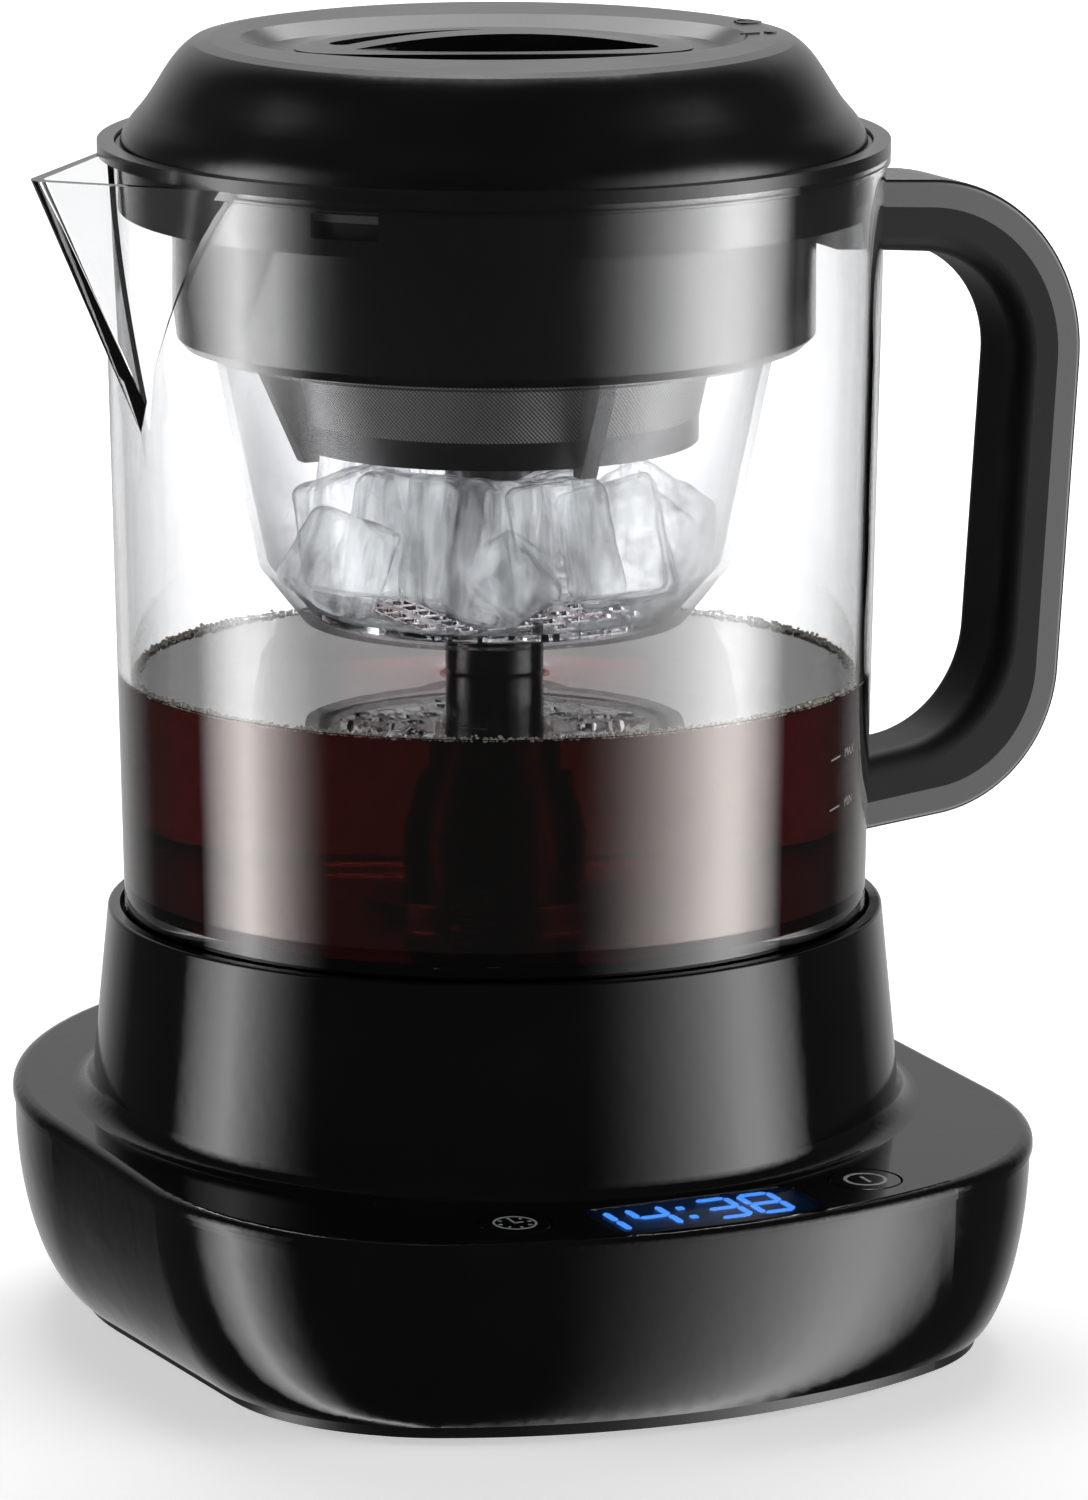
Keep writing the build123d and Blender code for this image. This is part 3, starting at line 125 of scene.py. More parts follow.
class FinishSettings(bpy.types.PropertyGroup):
    """Colours of the materials."""
    gloss_black: colour("Gloss black", "060607", "Black of the base, the lid and the handle's shell")
    satin_black: colour("Satin black", "0C0C0D", "Black of the basket, the filter's frame and the grip")
    rubber: colour("Rubber", "141414", "Black rubber of the foot, the seat and the gland")
    clear: colour("Clear plastic", "FAFAFB", "Tint of the clear jug and ice basket")
    brew: colour("Cold brew", "F0C09A", "Tint of the light that the brew reflects")
    brew_depth: colour("Brew depth", "B40804", "Colour that the brew lets through")
    foam: colour("Foam", "D8CDB4", "Bubbles along the brew's edge")
    digits: colour("Digits", "4C96FF", "Lit segments")
    marks: colour("Printed marks", "B9BBBE", "Icons on the buttons")


class CameraSettings(bpy.types.PropertyGroup):
    """Where the photograph was taken from."""
    azimuth: FloatProperty(name="Azimuth", description="Turn from the front towards the spout's side",
                           default=math.radians(25.7), subtype="ANGLE")
    pitch: FloatProperty(name="Pitch", description="How far the camera looks down",
                         default=math.radians(11.77), subtype="ANGLE")
    yaw: FloatProperty(name="Yaw", description="Turn that puts the pitcher's axis left of the middle",
                       default=math.radians(0.322), subtype="ANGLE")
    distance: length("Distance", 1807.8, "From the pitcher's axis, along the floor", high=5000)
    height: length("Height", 495.24, "Above the floor", high=5000)
    focal_pixels: FloatProperty(name="Focal length", description="In pixels of the photograph",
                                default=8981.0)


class BrewSettings(bpy.types.PropertyGroup):
    """The cold brew in the pitcher."""
    level: length("Level", 135.9, "Height of the brew's surface above the floor")
    lap: length("Lap", 0.2, "How far the brew's skin lies in the wall, as a wetted wall looks")
    meniscus: length("Meniscus", 0.5, "How far the brew climbs at the wall and the riser")
    bubbles: IntProperty(name="Bubbles", description="Bubbles along the wall", default=2400,
                         min=10, max=4000)
    bubble_radius: length("Bubble radius", 0.38, "Middle size of a bubble")


class IceSettings(bpy.types.PropertyGroup):
    """The ice in the ice basket."""
    size: length("Size", 21.0, "Edge of a middle-sized block")
    dents: length("Dents", 1.0, "Depth of the melted dents")


class MarkSettings(bpy.types.PropertyGroup):
    """Icons and marks."""
    icon_radius: length("Icon radius", 4.4, "Radius of the ring on each button")
    icon_line: length("Icon line", 0.42, "Width of the clock's lines")
    proud: length("Thickness", 0.05, "How far the print stands out")
    level_azimuth: FloatProperty(name="Level azimuth", description="Where the level marks stand",
                                 default=math.radians(-47), subtype="ANGLE")
    level_max: length("Upper level", 124.2, "Height of the upper level mark")
    level_min: length("Lower level", 113.9, "Height of the lower level mark")
    level_letter: length("Level letters", 2.6, "Height of the level marks' letters")
    lid_mark_thickness: length("Lid mark thickness", 0.3, "How far the lid's marks stand out")


# Making meshes

def pick(*pieces):
    """Selects these objects alone and makes the first one active."""
    bpy.ops.object.select_all(action="DESELECT")
    for piece in pieces:
        piece.select_set(True)
    bpy.context.view_layer.objects.active = pieces[0]


def edit(piece):
    """Enters edit mode with the whole mesh selected."""
    pick(piece)
    bpy.ops.object.mode_set(mode="EDIT")
    bpy.ops.mesh.select_all(action="SELECT")


def leave_edit():
    bpy.ops.object.mode_set(mode="OBJECT")


def close_shell(merge=0.01 * MM):
    """In edit mode: merges doubles and turns the faces outwards."""
    bpy.ops.mesh.select_all(action="SELECT")
    bpy.ops.mesh.remove_doubles(threshold=merge)
    bpy.ops.mesh.normals_make_consistent(inside=False)


def named(name):
    piece = bpy.context.object
    piece.name = name
    piece.data.name = name
    return piece


def settle(piece, place=None):
    """Puts the object's place into its mesh, so that the object itself is at the origin."""
    pick(piece)
    if place is not None:
        piece.matrix_world = place @ piece.matrix_world
    bpy.ops.object.transform_apply(location=True, rotation=True, scale=True)


def apply_modifiers(piece):
    pick(piece)
    for modifier in list(piece.modifiers):
        bpy.ops.object.modifier_apply(modifier=modifier.name)


def smooth(piece, degrees=35.0):
    pick(piece)
    bpy.ops.object.shade_smooth_by_angle(angle=math.radians(degrees))


def turned(name, corners):
    """Ring of corners, given as radius and height in metres, spun about the pitcher's axis."""
    bpy.ops.mesh.primitive_plane_add(size=2 * MM, location=(corners[0][0], 0, corners[0][1]))
    piece = named(name)
    settle(piece)
    edit(piece)
    bpy.ops.mesh.merge(type="CENTER")
    for (r0, z0), (r1, z1) in zip(corners, corners[1:] + corners[:1]):
        bpy.ops.mesh.extrude_region_move(TRANSFORM_OT_translate={"value": (r1 - r0, 0, z1 - z0)})
    bpy.ops.mesh.select_all(action="SELECT")
    bpy.ops.mesh.remove_doubles(threshold=0.01 * MM)
    bpy.ops.mesh.spin(steps=SPIN_STEPS, angle=2 * math.pi, center=(0, 0, 0), axis=(0, 0, 1))
    close_shell()
    leave_edit()
    smooth(piece)
    return piece


def finish(piece, material, body):
    """Gives a new piece its material and the body it rides on."""
    piece.data.materials.clear()
    piece.data.materials.append(material)
    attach(piece, body)
    return piece


# Materials

def add(tree, kind, inputs=None, **settings):
    """Adds a node. inputs gives each socket a value or the socket that feeds it."""
    made = tree.nodes.new(kind)
    for name, value in settings.items():
        setattr(made, name, value)
    for socket, value in (inputs or {}).items():
        if isinstance(value, bpy.types.NodeSocket):
            tree.links.new(value, made.inputs[socket])
        else:
            made.inputs[socket].default_value = value
    return made


def shader(name, **sockets):
    """New material with a Principled shader, whose sockets are named with _ for each space."""
    made = bpy.data.materials.new(name)
    made.use_nodes = True
    tree = made.node_tree
    tree.nodes.clear()
    inputs = {key.replace("_", " "): value for key, value in sockets.items()}
    principled = add(tree, "ShaderNodeBsdfPrincipled", inputs)
    output = add(tree, "ShaderNodeOutputMaterial", {"Surface": principled.outputs[0]})
    place = add(tree, "ShaderNodeTexCoord").outputs["Object"]
    return made, tree, principled, place, output


def rgba(value):
    return (*value[:3], 1.0)


def speckle(tree, place, size, detail=2.0, roughness=0.5):
    """Noise whose grains are about size metres across."""
    noise = add(tree, "ShaderNodeTexNoise",
                {"Vector": place, "Scale": 1 / size, "Detail": detail, "Roughness": roughness})
    return noise.outputs["Fac"]


def span(tree, value, low, high, out_low, out_high):
    ranged = add(tree, "ShaderNodeMapRange", {"Value": value, "From Min": low, "From Max": high,
                                              "To Min": out_low, "To Max": out_high})
    return ranged.outputs["Result"]


def blend_colours(tree, factor, first, second):
    mixed = add(tree, "ShaderNodeMix", {"Factor": factor}, data_type="RGBA")
    mixed.inputs[6].default_value = rgba(first)
    mixed.inputs[7].default_value = rgba(second)
    return mixed.outputs[2]


def tint(tree, principled, place, size, first, second, detail=2.0, roughness=0.5):
    """Base colour that drifts between two tones; gives back the noise that it follows."""
    cloud = speckle(tree, place, size, detail, roughness)
    tree.links.new(blend_colours(tree, cloud, first, second), principled.inputs["Base Color"])
    return cloud


def calc(tree, operation, first, second=0.0):
    made = add(tree, "ShaderNodeMath", operation=operation)
    for socket, value in zip(made.inputs, (first, second)):
        if isinstance(value, bpy.types.NodeSocket):
            tree.links.new(value, socket)
        else:
            socket.default_value = value
    return made.outputs[0]


def raise_surface(tree, principled, height, distance):
    """Bump of a noise or a pattern, distance metres deep."""
    bump = add(tree, "ShaderNodeBump", {"Height": height, "Distance": distance})
    tree.links.new(bump.outputs[0], principled.inputs["Normal"])


def lighter(value, share):
    """A colour moved towards white by a share of the way."""
    return tuple(v + (1 - v) * share for v in value[:3])


def darker(value, share):
    """A colour moved towards black by a share of the way."""
    return tuple(v * (1 - share) for v in value[:3])


def gloss_black_abs(settings):
    """ABS, mirror-polished mould: deep black, crisp reflections, the faintest orange peel and smudges."""
    made, tree, principled, place, _ = shader("ABS_gloss_black_polished", IOR=1.5, Specular_IOR_Level=0.36)
    smudge = tint(tree, principled, place, 22 * MM,
                  settings.gloss_black, lighter(settings.gloss_black, 0.004), 3.0, 0.6)
    tree.links.new(span(tree, smudge, 0.35, 0.7, 0.07, 0.13), principled.inputs["Roughness"])
    raise_surface(tree, principled, speckle(tree, place, 4 * MM, 1.0), 0.02 * MM)
    return made


def soft_gloss_abs(settings, name="ABS_black_soft_gloss", shine=0.5):
    """ABS from a lightly blasted mould: black with soft-edged reflections."""
    made, tree, principled, place, _ = shader(name, IOR=1.5, Specular_IOR_Level=shine)
    smudge = tint(tree, principled, place, 26 * MM,
                  settings.gloss_black, lighter(settings.gloss_black, 0.004), 3.0, 0.6)
    tree.links.new(span(tree, smudge, 0.35, 0.7, 0.2, 0.26), principled.inputs["Roughness"])
    raise_surface(tree, principled, speckle(tree, place, 0.7 * MM, 1.0), 0.006 * MM)
    return made


def satin_black_pp(settings):
    """Polypropylene and ABS from a fine-etched mould: soft highlights and a fine grain."""
    made, tree, principled, place, _ = shader("PP_satin_black_etched", IOR=1.49)
    cloud = tint(tree, principled, place, 30 * MM, settings.satin_black, lighter(settings.satin_black, 0.01))
    tree.links.new(span(tree, cloud, 0.3, 0.7, 0.3, 0.38), principled.inputs["Roughness"])
    # the etch is about 0.1 mm; drawn at 0.5 mm so that it shows
    raise_surface(tree, principled, speckle(tree, place, 0.5 * MM, 1.0), 0.02 * MM)
    return made


def soft_touch_tpe(settings):
    """Thermoplastic rubber overmoulded on the handle: deep black with a dull, spread sheen."""
    made, tree, principled, place, _ = shader(
        "TPE_black_soft_touch", IOR=1.5, Roughness=0.5, Specular_IOR_Level=0.15)
    tint(tree, principled, place, 30 * MM, settings.satin_black, lighter(settings.satin_black, 0.01))
    raise_surface(tree, principled, speckle(tree, place, 0.5 * MM, 1.0), 0.02 * MM)
    return made


def drum_black_pp(settings):
    """Basket moulding, polished black on its outside: broad grey sheen from the light."""
    made, tree, principled, place, _ = shader("PP_black_polished_basket", IOR=1.49, Roughness=0.2)
    tint(tree, principled, place, 25 * MM, settings.satin_black, lighter(settings.satin_black, 0.008))
    raise_surface(tree, principled, speckle(tree, place, 3 * MM, 1.0), 0.015 * MM)
    return made


def riser_black_pc(settings):
    """Polycarbonate tube, gloss black."""
    made, tree, principled, place, _ = shader("PC_black_gloss_tube", IOR=1.58, Roughness=0.12)
    tint(tree, principled, place, 12 * MM, settings.gloss_black, lighter(settings.gloss_black, 0.012))
    raise_surface(tree, principled, speckle(tree, place, 5 * MM, 1.0), 0.03 * MM)
    return made


def black_rubber(settings):
    """Moulded rubber: matt, with a fine dusty bloom."""
    made, tree, principled, place, _ = shader("rubber_black_moulded", IOR=1.52, Roughness=0.72)
    tint(tree, principled, place, 6 * MM, settings.rubber, lighter(settings.rubber, 0.05), 4.0, 0.65)
    raise_surface(tree, principled, speckle(tree, place, 0.6 * MM, 2.0), 0.05 * MM)
    return made


def clear_copolyester(settings):
    """Moulded copolyester, water-clear: sharp rims, a slight waviness from moulding and painted grey shade
    where the view runs along the wall.
    """
    made, tree, principled, place, _ = shader(
        "copolyester_clear_moulded", IOR=1.5, Roughness=0.0, Transmission_Weight=1.0)
    haze = speckle(tree, place, 60 * MM, 1.0)
    tone = blend_colours(tree, haze, settings.clear, lighter(settings.clear, 0.5))
    # painted shade: the wall's colour greys where the view runs along it, standing in for the dark edge that
    # the bent light gives
    facing = add(tree, "ShaderNodeLayerWeight", {"Blend": 0.5}).outputs["Facing"]
    edge = calc(tree, "POWER", span(tree, facing, 0.15, 0.95, 0.0, 1.0), 1.8)
    edge_shade_paint = add(tree, "ShaderNodeMix", {"Factor": edge}, data_type="RGBA")
    tree.links.new(tone, edge_shade_paint.inputs[6])
    edge_shade_paint.inputs[7].default_value = rgba(linear("8A8C8E"))
    tree.links.new(edge_shade_paint.outputs[2], principled.inputs["Base Color"])
    raise_surface(tree, principled, speckle(tree, place, 18 * MM, 0.0), 0.03 * MM)
    return made


def thin_copolyester(settings):
    """Thin clear moulding: hardly bends the view, is painted grey towards its edges as shade and mirrors the
    lights there.
    """
    made, tree, _, place, output = shader("copolyester_clear_thin", IOR=1.5, Transmission_Weight=1.0)
    facing = add(tree, "ShaderNodeLayerWeight", {"Blend": 0.5}).outputs["Facing"]
    edge = calc(tree, "POWER", span(tree, facing, 0.25, 1.0, 0.0, 1.0), 1.6)
    streak = speckle(tree, place, 14 * MM, 2.0)
    # painted shade: the see-through colour turns grey towards the edges
    body = blend_colours(tree, edge, settings.clear, linear("808284"))
    clear = add(tree, "ShaderNodeBsdfTransparent", {"Color": body})
    wavy = add(tree, "ShaderNodeBump", {"Height": streak, "Distance": 0.2 * MM})
    shine = add(tree, "ShaderNodeBsdfGlossy", {"Roughness": 0.03, "Normal": wavy.outputs[0]})
    # the same from inside as from outside, because this wall doesn't bend the light
    mirror = calc(tree, "ADD", calc(tree, "MULTIPLY", calc(tree, "POWER", facing, 5.0), 0.5), 0.035)
    mixed = add(tree, "ShaderNodeMixShader", {0: mirror, 1: clear.outputs[0], 2: shine.outputs[0]})
    tree.links.new(mixed.outputs[0], output.inputs["Surface"])
    return made


def smoked_pane(settings):
    """Smoked acrylic over the digits, with a painted glow of their light in it."""
    made, tree, principled, place, _ = shader(
        "acrylic_smoked_polished", IOR=1.49, Roughness=0.03, Transmission_Weight=1.0)
    principled.inputs["Base Color"].default_value = rgba(linear("8C9098"))
    # painted glow: the pane gives out the digits' blue light, most in the window's middle and none at its
    # edges
    parts = add(tree, "ShaderNodeSeparateXYZ", {"Vector": place})
    reach = []
    for axis, middle, half in (("X", WINDOW_X, 30), ("Y", WINDOW_Y, 13)):
        share = calc(tree, "DIVIDE", calc(tree, "SUBTRACT", parts.outputs[axis], middle * MM), half * MM)
        reach.append(calc(tree, "POWER", calc(tree, "ABSOLUTE", share), 2.0))
    far = calc(tree, "ADD", *reach)
    painted_glow = span(tree, far, 0.1, 1.0, 0.018, 0.0)
    tree.links.new(painted_glow, principled.inputs["Emission Strength"])
    principled.inputs["Emission Color"].default_value = rgba(settings.digits)
    raise_surface(tree, principled, speckle(tree, place, 9 * MM, 1.0), 0.01 * MM)
    return made


def lit_segment(settings):
    """Light-emitting segments: blue light whose strength drifts a little at random over each bar."""
    made, tree, principled, place, _ = shader("LED_segment_lit", Roughness=0.5)
    principled.inputs["Base Color"].default_value = rgba(linear("0A1830"))
    principled.inputs["Emission Color"].default_value = rgba(settings.digits)
    grain = speckle(tree, place, 0.8 * MM, 1.0)
    tree.links.new(span(tree, grain, 0.3, 0.7, 5.0, 6.0), principled.inputs["Emission Strength"])
    return made


def metal(name, hex_colour, roughness, grain, turn=0.0):
    """Metal with fine tool lines; grain is their spacing in metres."""
    made, tree, principled, place, _ = shader(name, Metallic=1.0)
    turned_place = add(tree, "ShaderNodeMapping", {"Vector": place, "Rotation": (0, 0, turn)})
    lines = add(tree, "ShaderNodeTexWave", {"Vector": turned_place.outputs[0], "Scale": 1 / grain / 20,
                                            "Distortion": 6.0, "Detail": 2.0}, bands_direction="Z")
    bright = linear(hex_colour)
    tone = blend_colours(tree, lines.outputs["Fac"], bright, darker(bright, 0.18))
    tree.links.new(tone, principled.inputs["Base Color"])
    worn = speckle(tree, place, 4 * MM, 3.0)
    rough = span(tree, worn, 0.3, 0.7, roughness - 0.06, roughness + 0.08)
    tree.links.new(rough, principled.inputs["Roughness"])
    raise_surface(tree, principled, lines.outputs["Fac"], 0.01 * MM)
    return made


def woven_mesh():
    """Stainless wire cloth, woven with a slant and wrapped round the cone: grey with a silky grain, and
    painted shade in the weave's low places between the wires.
    """
    made, tree, principled, place, _ = shader("stainless_wire_cloth", Metallic=0.55, Roughness=0.42)
    parts = add(tree, "ShaderNodeSeparateXYZ", {"Vector": place})
    angle = calc(tree, "ARCTAN2", parts.outputs["Y"], parts.outputs["X"])
    # the wires stand 0.15 mm apart; drawn at 0.9 mm so that they show
    pitch = 0.9 * MM
    round_way = calc(tree, "MULTIPLY", angle, MESH_R * MM * 2 * math.pi / pitch)
    up_way = calc(tree, "MULTIPLY", parts.outputs["Z"], 2 * math.pi / pitch)
    twill = calc(tree, "SINE", calc(tree, "ADD", round_way, up_way))
    crossing = calc(tree, "MULTIPLY", calc(tree, "SINE", round_way), calc(tree, "SINE", up_way))
    weave = calc(tree, "ADD", calc(tree, "MULTIPLY", twill, 0.5), calc(tree, "MULTIPLY", crossing, 0.5))
    # painted shade: the colour follows the weave, darker in its low places between the wires
    tone = blend_colours(tree, span(tree, weave, -0.6, 0.6, 0.0, 1.0), linear("4C4C4B"), linear("969592"))
    tree.links.new(tone, principled.inputs["Base Color"])
    raise_surface(tree, principled, weave, 0.08 * MM)
    return made


def ferrite():
    """Sintered ferrite: dull grey-black, slightly gritty."""
    made, tree, principled, place, _ = shader("ferrite_sintered", Roughness=0.6, Metallic=0.2)
    grit = tint(tree, principled, place, 0.7 * MM, linear("26262A"), linear("45454A"), 3.0)
    raise_surface(tree, principled, grit, 0.03 * MM)
    return made


def circuit_board():
    """Glass-epoxy laminate under green solder resist, with paler copper runs."""
    made, tree, principled, place, _ = shader("glass_epoxy_green_resist", Roughness=0.35)
    runs = add(tree, "ShaderNodeTexWave", {"Vector": place, "Scale": 60.0, "Distortion": 9.0, "Detail": 0.0})
    tone = blend_colours(tree, span(tree, runs.outputs["Fac"], 0.75, 0.8, 0.0, 1.0), linear("0E3A22"),
                         linear("1C5A36"))
    tree.links.new(tone, principled.inputs["Base Color"])
    raise_surface(tree, principled, runs.outputs["Fac"], 0.02 * MM)
    return made


def nylon(name, hex_colour, rough=0.45):
    """Natural nylon or silicone moulding: slightly cloudy."""
    made, tree, principled, place, _ = shader(name, Roughness=rough, Subsurface_Weight=0.2)
    principled.inputs["Subsurface Radius"].default_value = (2 * MM, 2 * MM, 2 * MM)
    base = linear(hex_colour)
    tint(tree, principled, place, 5 * MM, base, darker(base, 0.15))
    raise_surface(tree, principled, speckle(tree, place, 0.8 * MM), 0.02 * MM)
    return made


def cold_brew(settings):
    """Filtered coffee: near black in depth, red where the light comes through."""
    made, tree, principled, place, output = shader("cold_brew_coffee", IOR=1.33, Roughness=0.0,
                                                   Transmission_Weight=1.0, Specular_IOR_Level=1.0)
    principled.inputs["Base Color"].default_value = (1, 1, 1, 1)
    principled.inputs["Specular Tint"].default_value = rgba(settings.brew)
    absorb = add(tree, "ShaderNodeVolumeAbsorption", {"Color": rgba(settings.brew_depth), "Density": 56.0})
    tree.links.new(absorb.outputs[0], output.inputs["Volume"])
    swirl = speckle(tree, place, 35 * MM, 1.0)
    raise_surface(tree, principled, swirl, 0.05 * MM)
    return made


def brew_foam(settings):
    """Coffee bubbles: thin clear skins that look cream where they crowd."""
    made, tree, principled, place, _ = shader(
        "coffee_bubbles", IOR=1.33, Roughness=0.15, Transmission_Weight=0.15)
    tint(tree, principled, place, 2.5 * MM, settings.foam, lighter(settings.foam, 0.6))
    return made


def clear_ice():
    """Block ice: clear and wet, wavy from melting, with cloudy threads inside, a painted glow for the light
    showing through and painted grey shade on the ripples' flanks.
    """
    made, tree, principled, place, output = shader("ice_clear_wet", IOR=1.31, Transmission_Weight=1.0)
    thread = speckle(tree, place, 7 * MM, 4.0, 0.6)
    tree.links.new(span(tree, thread, 0.6, 0.8, 0.0, 0.08), principled.inputs["Roughness"])
    # melt water runs down: the ripples are four times as tall as they are wide
    tall = add(tree, "ShaderNodeMapping", {"Vector": place, "Scale": (1, 1, 0.25)})
    wave = speckle(tree, tall.outputs[0], 5 * MM, 1.5)
    ripple = add(tree, "ShaderNodeBump", {"Height": wave, "Distance": 1.6 * MM})
    tree.links.new(ripple.outputs[0], principled.inputs["Normal"])
    # painted shade: a ripple's flank, which turns the view aside, is coloured grey
    weight = add(tree, "ShaderNodeLayerWeight", {"Blend": 0.5, "Normal": ripple.outputs[0]})
    facing = weight.outputs["Facing"]
    flank_shade_paint = calc(tree, "POWER", span(tree, facing, 0.4, 0.9, 0.0, 1.0), 1.8)
    # painted light: the ripples glow faintly white, standing in for the light of the surroundings that cracks
    # and trapped air carry
    tree.links.new(span(tree, wave, 0.42, 0.62, 0.0, 0.45), principled.inputs["Emission Strength"])
    principled.inputs["Emission Color"].default_value = rgba(linear("F2F6F8"))
    light = add(tree, "ShaderNodeBsdfTransparent",
                {"Color": blend_colours(tree, flank_shade_paint, linear("FCFDFD"), linear("606468"))})
    mixed = add(tree, "ShaderNodeMixShader",
                {0: ICE_CLEARNESS, 1: principled.outputs[0], 2: light.outputs[0]})
    tree.links.new(mixed.outputs[0], output.inputs["Surface"])
    return made


def printed_ink(settings):
    """Pad-printed ink: pale grey, faintly uneven."""
    made, tree, principled, place, _ = shader("ink_grey_pad_printed", Roughness=0.5)
    tint(tree, principled, place, 0.5 * MM, settings.marks, darker(settings.marks, 0.2))
    return made


def faint_ink():
    """Thin translucent ink on the clear wall, hardly seen against the brew."""
    made, tree, principled, place, output = shader("ink_white_screen_printed", Roughness=0.5)
    principled.inputs["Base Color"].default_value = rgba(linear("C8C4BE"))
    dots = span(tree, speckle(tree, place, 0.4 * MM, 1.0), 0.35, 0.65, 0.5, 0.75)
    clear = add(tree, "ShaderNodeBsdfTransparent")
    mixed = add(tree, "ShaderNodeMixShader", {0: dots, 1: principled.outputs[0], 2: clear.outputs[0]})
    tree.links.new(mixed.outputs[0], output.inputs["Surface"])
    return made


class BREW_OT_finishes(bpy.types.Operator):
    """Gives every carried-over part its material"""
    bl_idname = "coffee_maker.finishes"
    bl_label = "Finish the parts"
    bl_options = {"REGISTER", "UNDO"}

    def execute(self, context):
        settings = context.scene.coffee_finishes
        steel = metal("steel_zinc_plated", "B9BABC", 0.3, 0.3 * MM)
        plain = metal("steel_turned", "A9AAAC", 0.25, 0.2 * MM, math.pi / 2)
        satin = satin_black_pp(settings)
        gloss = gloss_black_abs(settings)
        soft = soft_gloss_abs(settings)
        rubber = black_rubber(settings)
        clear = clear_copolyester(settings)
        magnet = ferrite()
        white = nylon("nylon_natural", "D9D6CB")
        tube = riser_black_pc(settings)
        finishes = {
            "base_top_cover": gloss, "base_lower_housing": gloss, "lid_dome": soft,
            "handle_shell": soft_gloss_abs(settings, "ABS_black_handle", 0.62),
            "led_display": satin, "bottom_plate": satin, "timer_button": gloss, "power_button": gloss,
            "handle_grip": soft_touch_tpe(settings), "filter_frame": satin, "lid_handle": soft,
            "lid_inner_plate": satin, "spray_head": satin, "button_switches": satin, "motor_end_cap": satin,
            "brew_basket": drum_black_pp(settings), "riser_tube": tube, "pump_housing": tube,
            "rubber_foot": rubber, "seat_ring": rubber, "cord_gland": rubber,
            "pitcher_jug": clear, "ice_basket": thin_copolyester(settings), "ice_grid": clear,
            "display_window": smoked_pane(settings), "display_digits": lit_segment(settings),
            "plate_screws": steel, "board_screws": steel, "bracket_screws": steel, "handle_screws": steel,
            "lid_pivot_screw": steel, "motor_bracket": steel, "motor_can": plain, "motor_armature": plain,
            "motor_shaft": plain, "impeller_pin": plain, "filter_mesh": woven_mesh(),
            "motor_bearing": metal("bronze_sintered", "A9824A", 0.4, 0.4 * MM),
            "motor_field_ring": magnet, "drive_magnets": magnet, "impeller_magnet": magnet,
            "control_board": circuit_board(), "drive_rotor": white, "impeller": white,
            "lid_gasket": nylon("silicone_grey", "6E7072", 0.6),
        }
        for node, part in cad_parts.items():
            part.data.materials.clear()
            part.data.materials.append(finishes[node])
        return {"FINISHED"}


def jug_bore(z):
    """Inner radius of the pitcher at a height, in metres."""
    return (JUG_R_AT_RIM - JUG_WALL + JUG_DRAFT * (z / MM - JUG_RIM_Z)) * MM


class BREW_OT_brew(bpy.types.Operator):
    """Fills the pitcher with cold brew, with bubbles along the wall"""
    bl_idname = "coffee_maker.brew"
    bl_label = "Pour the brew"
    bl_options = {"REGISTER", "UNDO"}

    def execute(self, context):
        s = context.scene.coffee_brew
        floor, level, lap, climb = JUG_FLOOR * MM - s.lap, s.level, s.lap, s.meniscus
        wall = jug_bore(level) + lap
        corner = FLOOR_CORNER * MM
        foot = jug_bore(JUG_FLOOR * MM + corner) + lap
        riser, flange, body, neck = (r * MM - lap for r in (RISER_R, PUMP_FLANGE_R, PUMP_BODY_R, PUMP_NECK_R))
        _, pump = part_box("pump_housing")
        pump_top = pump.z - PUMP_GAP * MM
        flange_top = PUMP_FLANGE_TOP * MM - lap
        corners = [(foot - corner, floor), (foot, floor + corner)]
        corners += [(wall - away * MM, level + left * climb) for away, left in WALL_CLIMB]
        corners += [(ring * MM, level) for ring in SURFACE_RINGS]
        corners += [(riser + away * MM, level + left * climb) for away, left in RISER_CLIMB]
        corners += [(riser, pump_top), (neck, pump_top), (body, (PUMP_SHOULDER - PUMP_GAP) * MM),
                    (body, flange_top), (flange, flange_top), (flange, floor)]
        brew = turned("cold_brew", corners)
        finish(brew, cold_brew(context.scene.coffee_finishes), "pitcher")
        finish(self.bubbles(s), brew_foam(context.scene.coffee_finishes), "pitcher")
        return {"FINISHED"}

    def bubbles(self, s):
        """One small dome, copied along the wall with its own size and place each time."""
        bpy.ops.mesh.primitive_uv_sphere_add(segments=7, ring_count=5, radius=1.0)
        one = named("brew_bubbles")
        edit(one)
        bpy.ops.mesh.bisect(plane_co=(0, 0, BUBBLE_CUT), plane_no=(0, 0, 1), clear_inner=True, use_fill=True)
        leave_edit()
        draw = random.Random(BUBBLE_SEED)
        dome = [vertex.co.copy() for vertex in one.data.vertices]
        faces = [tuple(face.vertices) for face in one.data.polygons]
        spots, corners = [], []
        for _ in range(s.bubbles):
            angle = draw.uniform(0, 2 * math.pi)
            crowd = 0.5 + 0.5 * math.sin(3 * angle + 1.1) * math.sin(7 * angle)
            radius = s.bubble_radius * draw.uniform(0.45, 1.3) * (0.75 + 0.5 * crowd)
            wall = jug_bore(s.level) - radius
            off = abs(draw.gauss(0, 0.5 + 0.6 * crowd)) * MM
            near = max(0.0, 1 - off / (1.2 * MM))
            high = s.level + (draw.uniform(-0.1, 0.3) + near * draw.uniform(0.0, 1.0)) * MM
            spot = Vector(((wall - off) * math.cos(angle), (wall - off) * math.sin(angle), high))
            first = len(spots)
            spots.extend(spot + radius * point for point in dome)
            corners.extend(tuple(first + k for k in face) for face in faces)
        one.data.clear_geometry()
        one.data.from_pydata(spots, [], corners)
        smooth(one, 80)
        return one


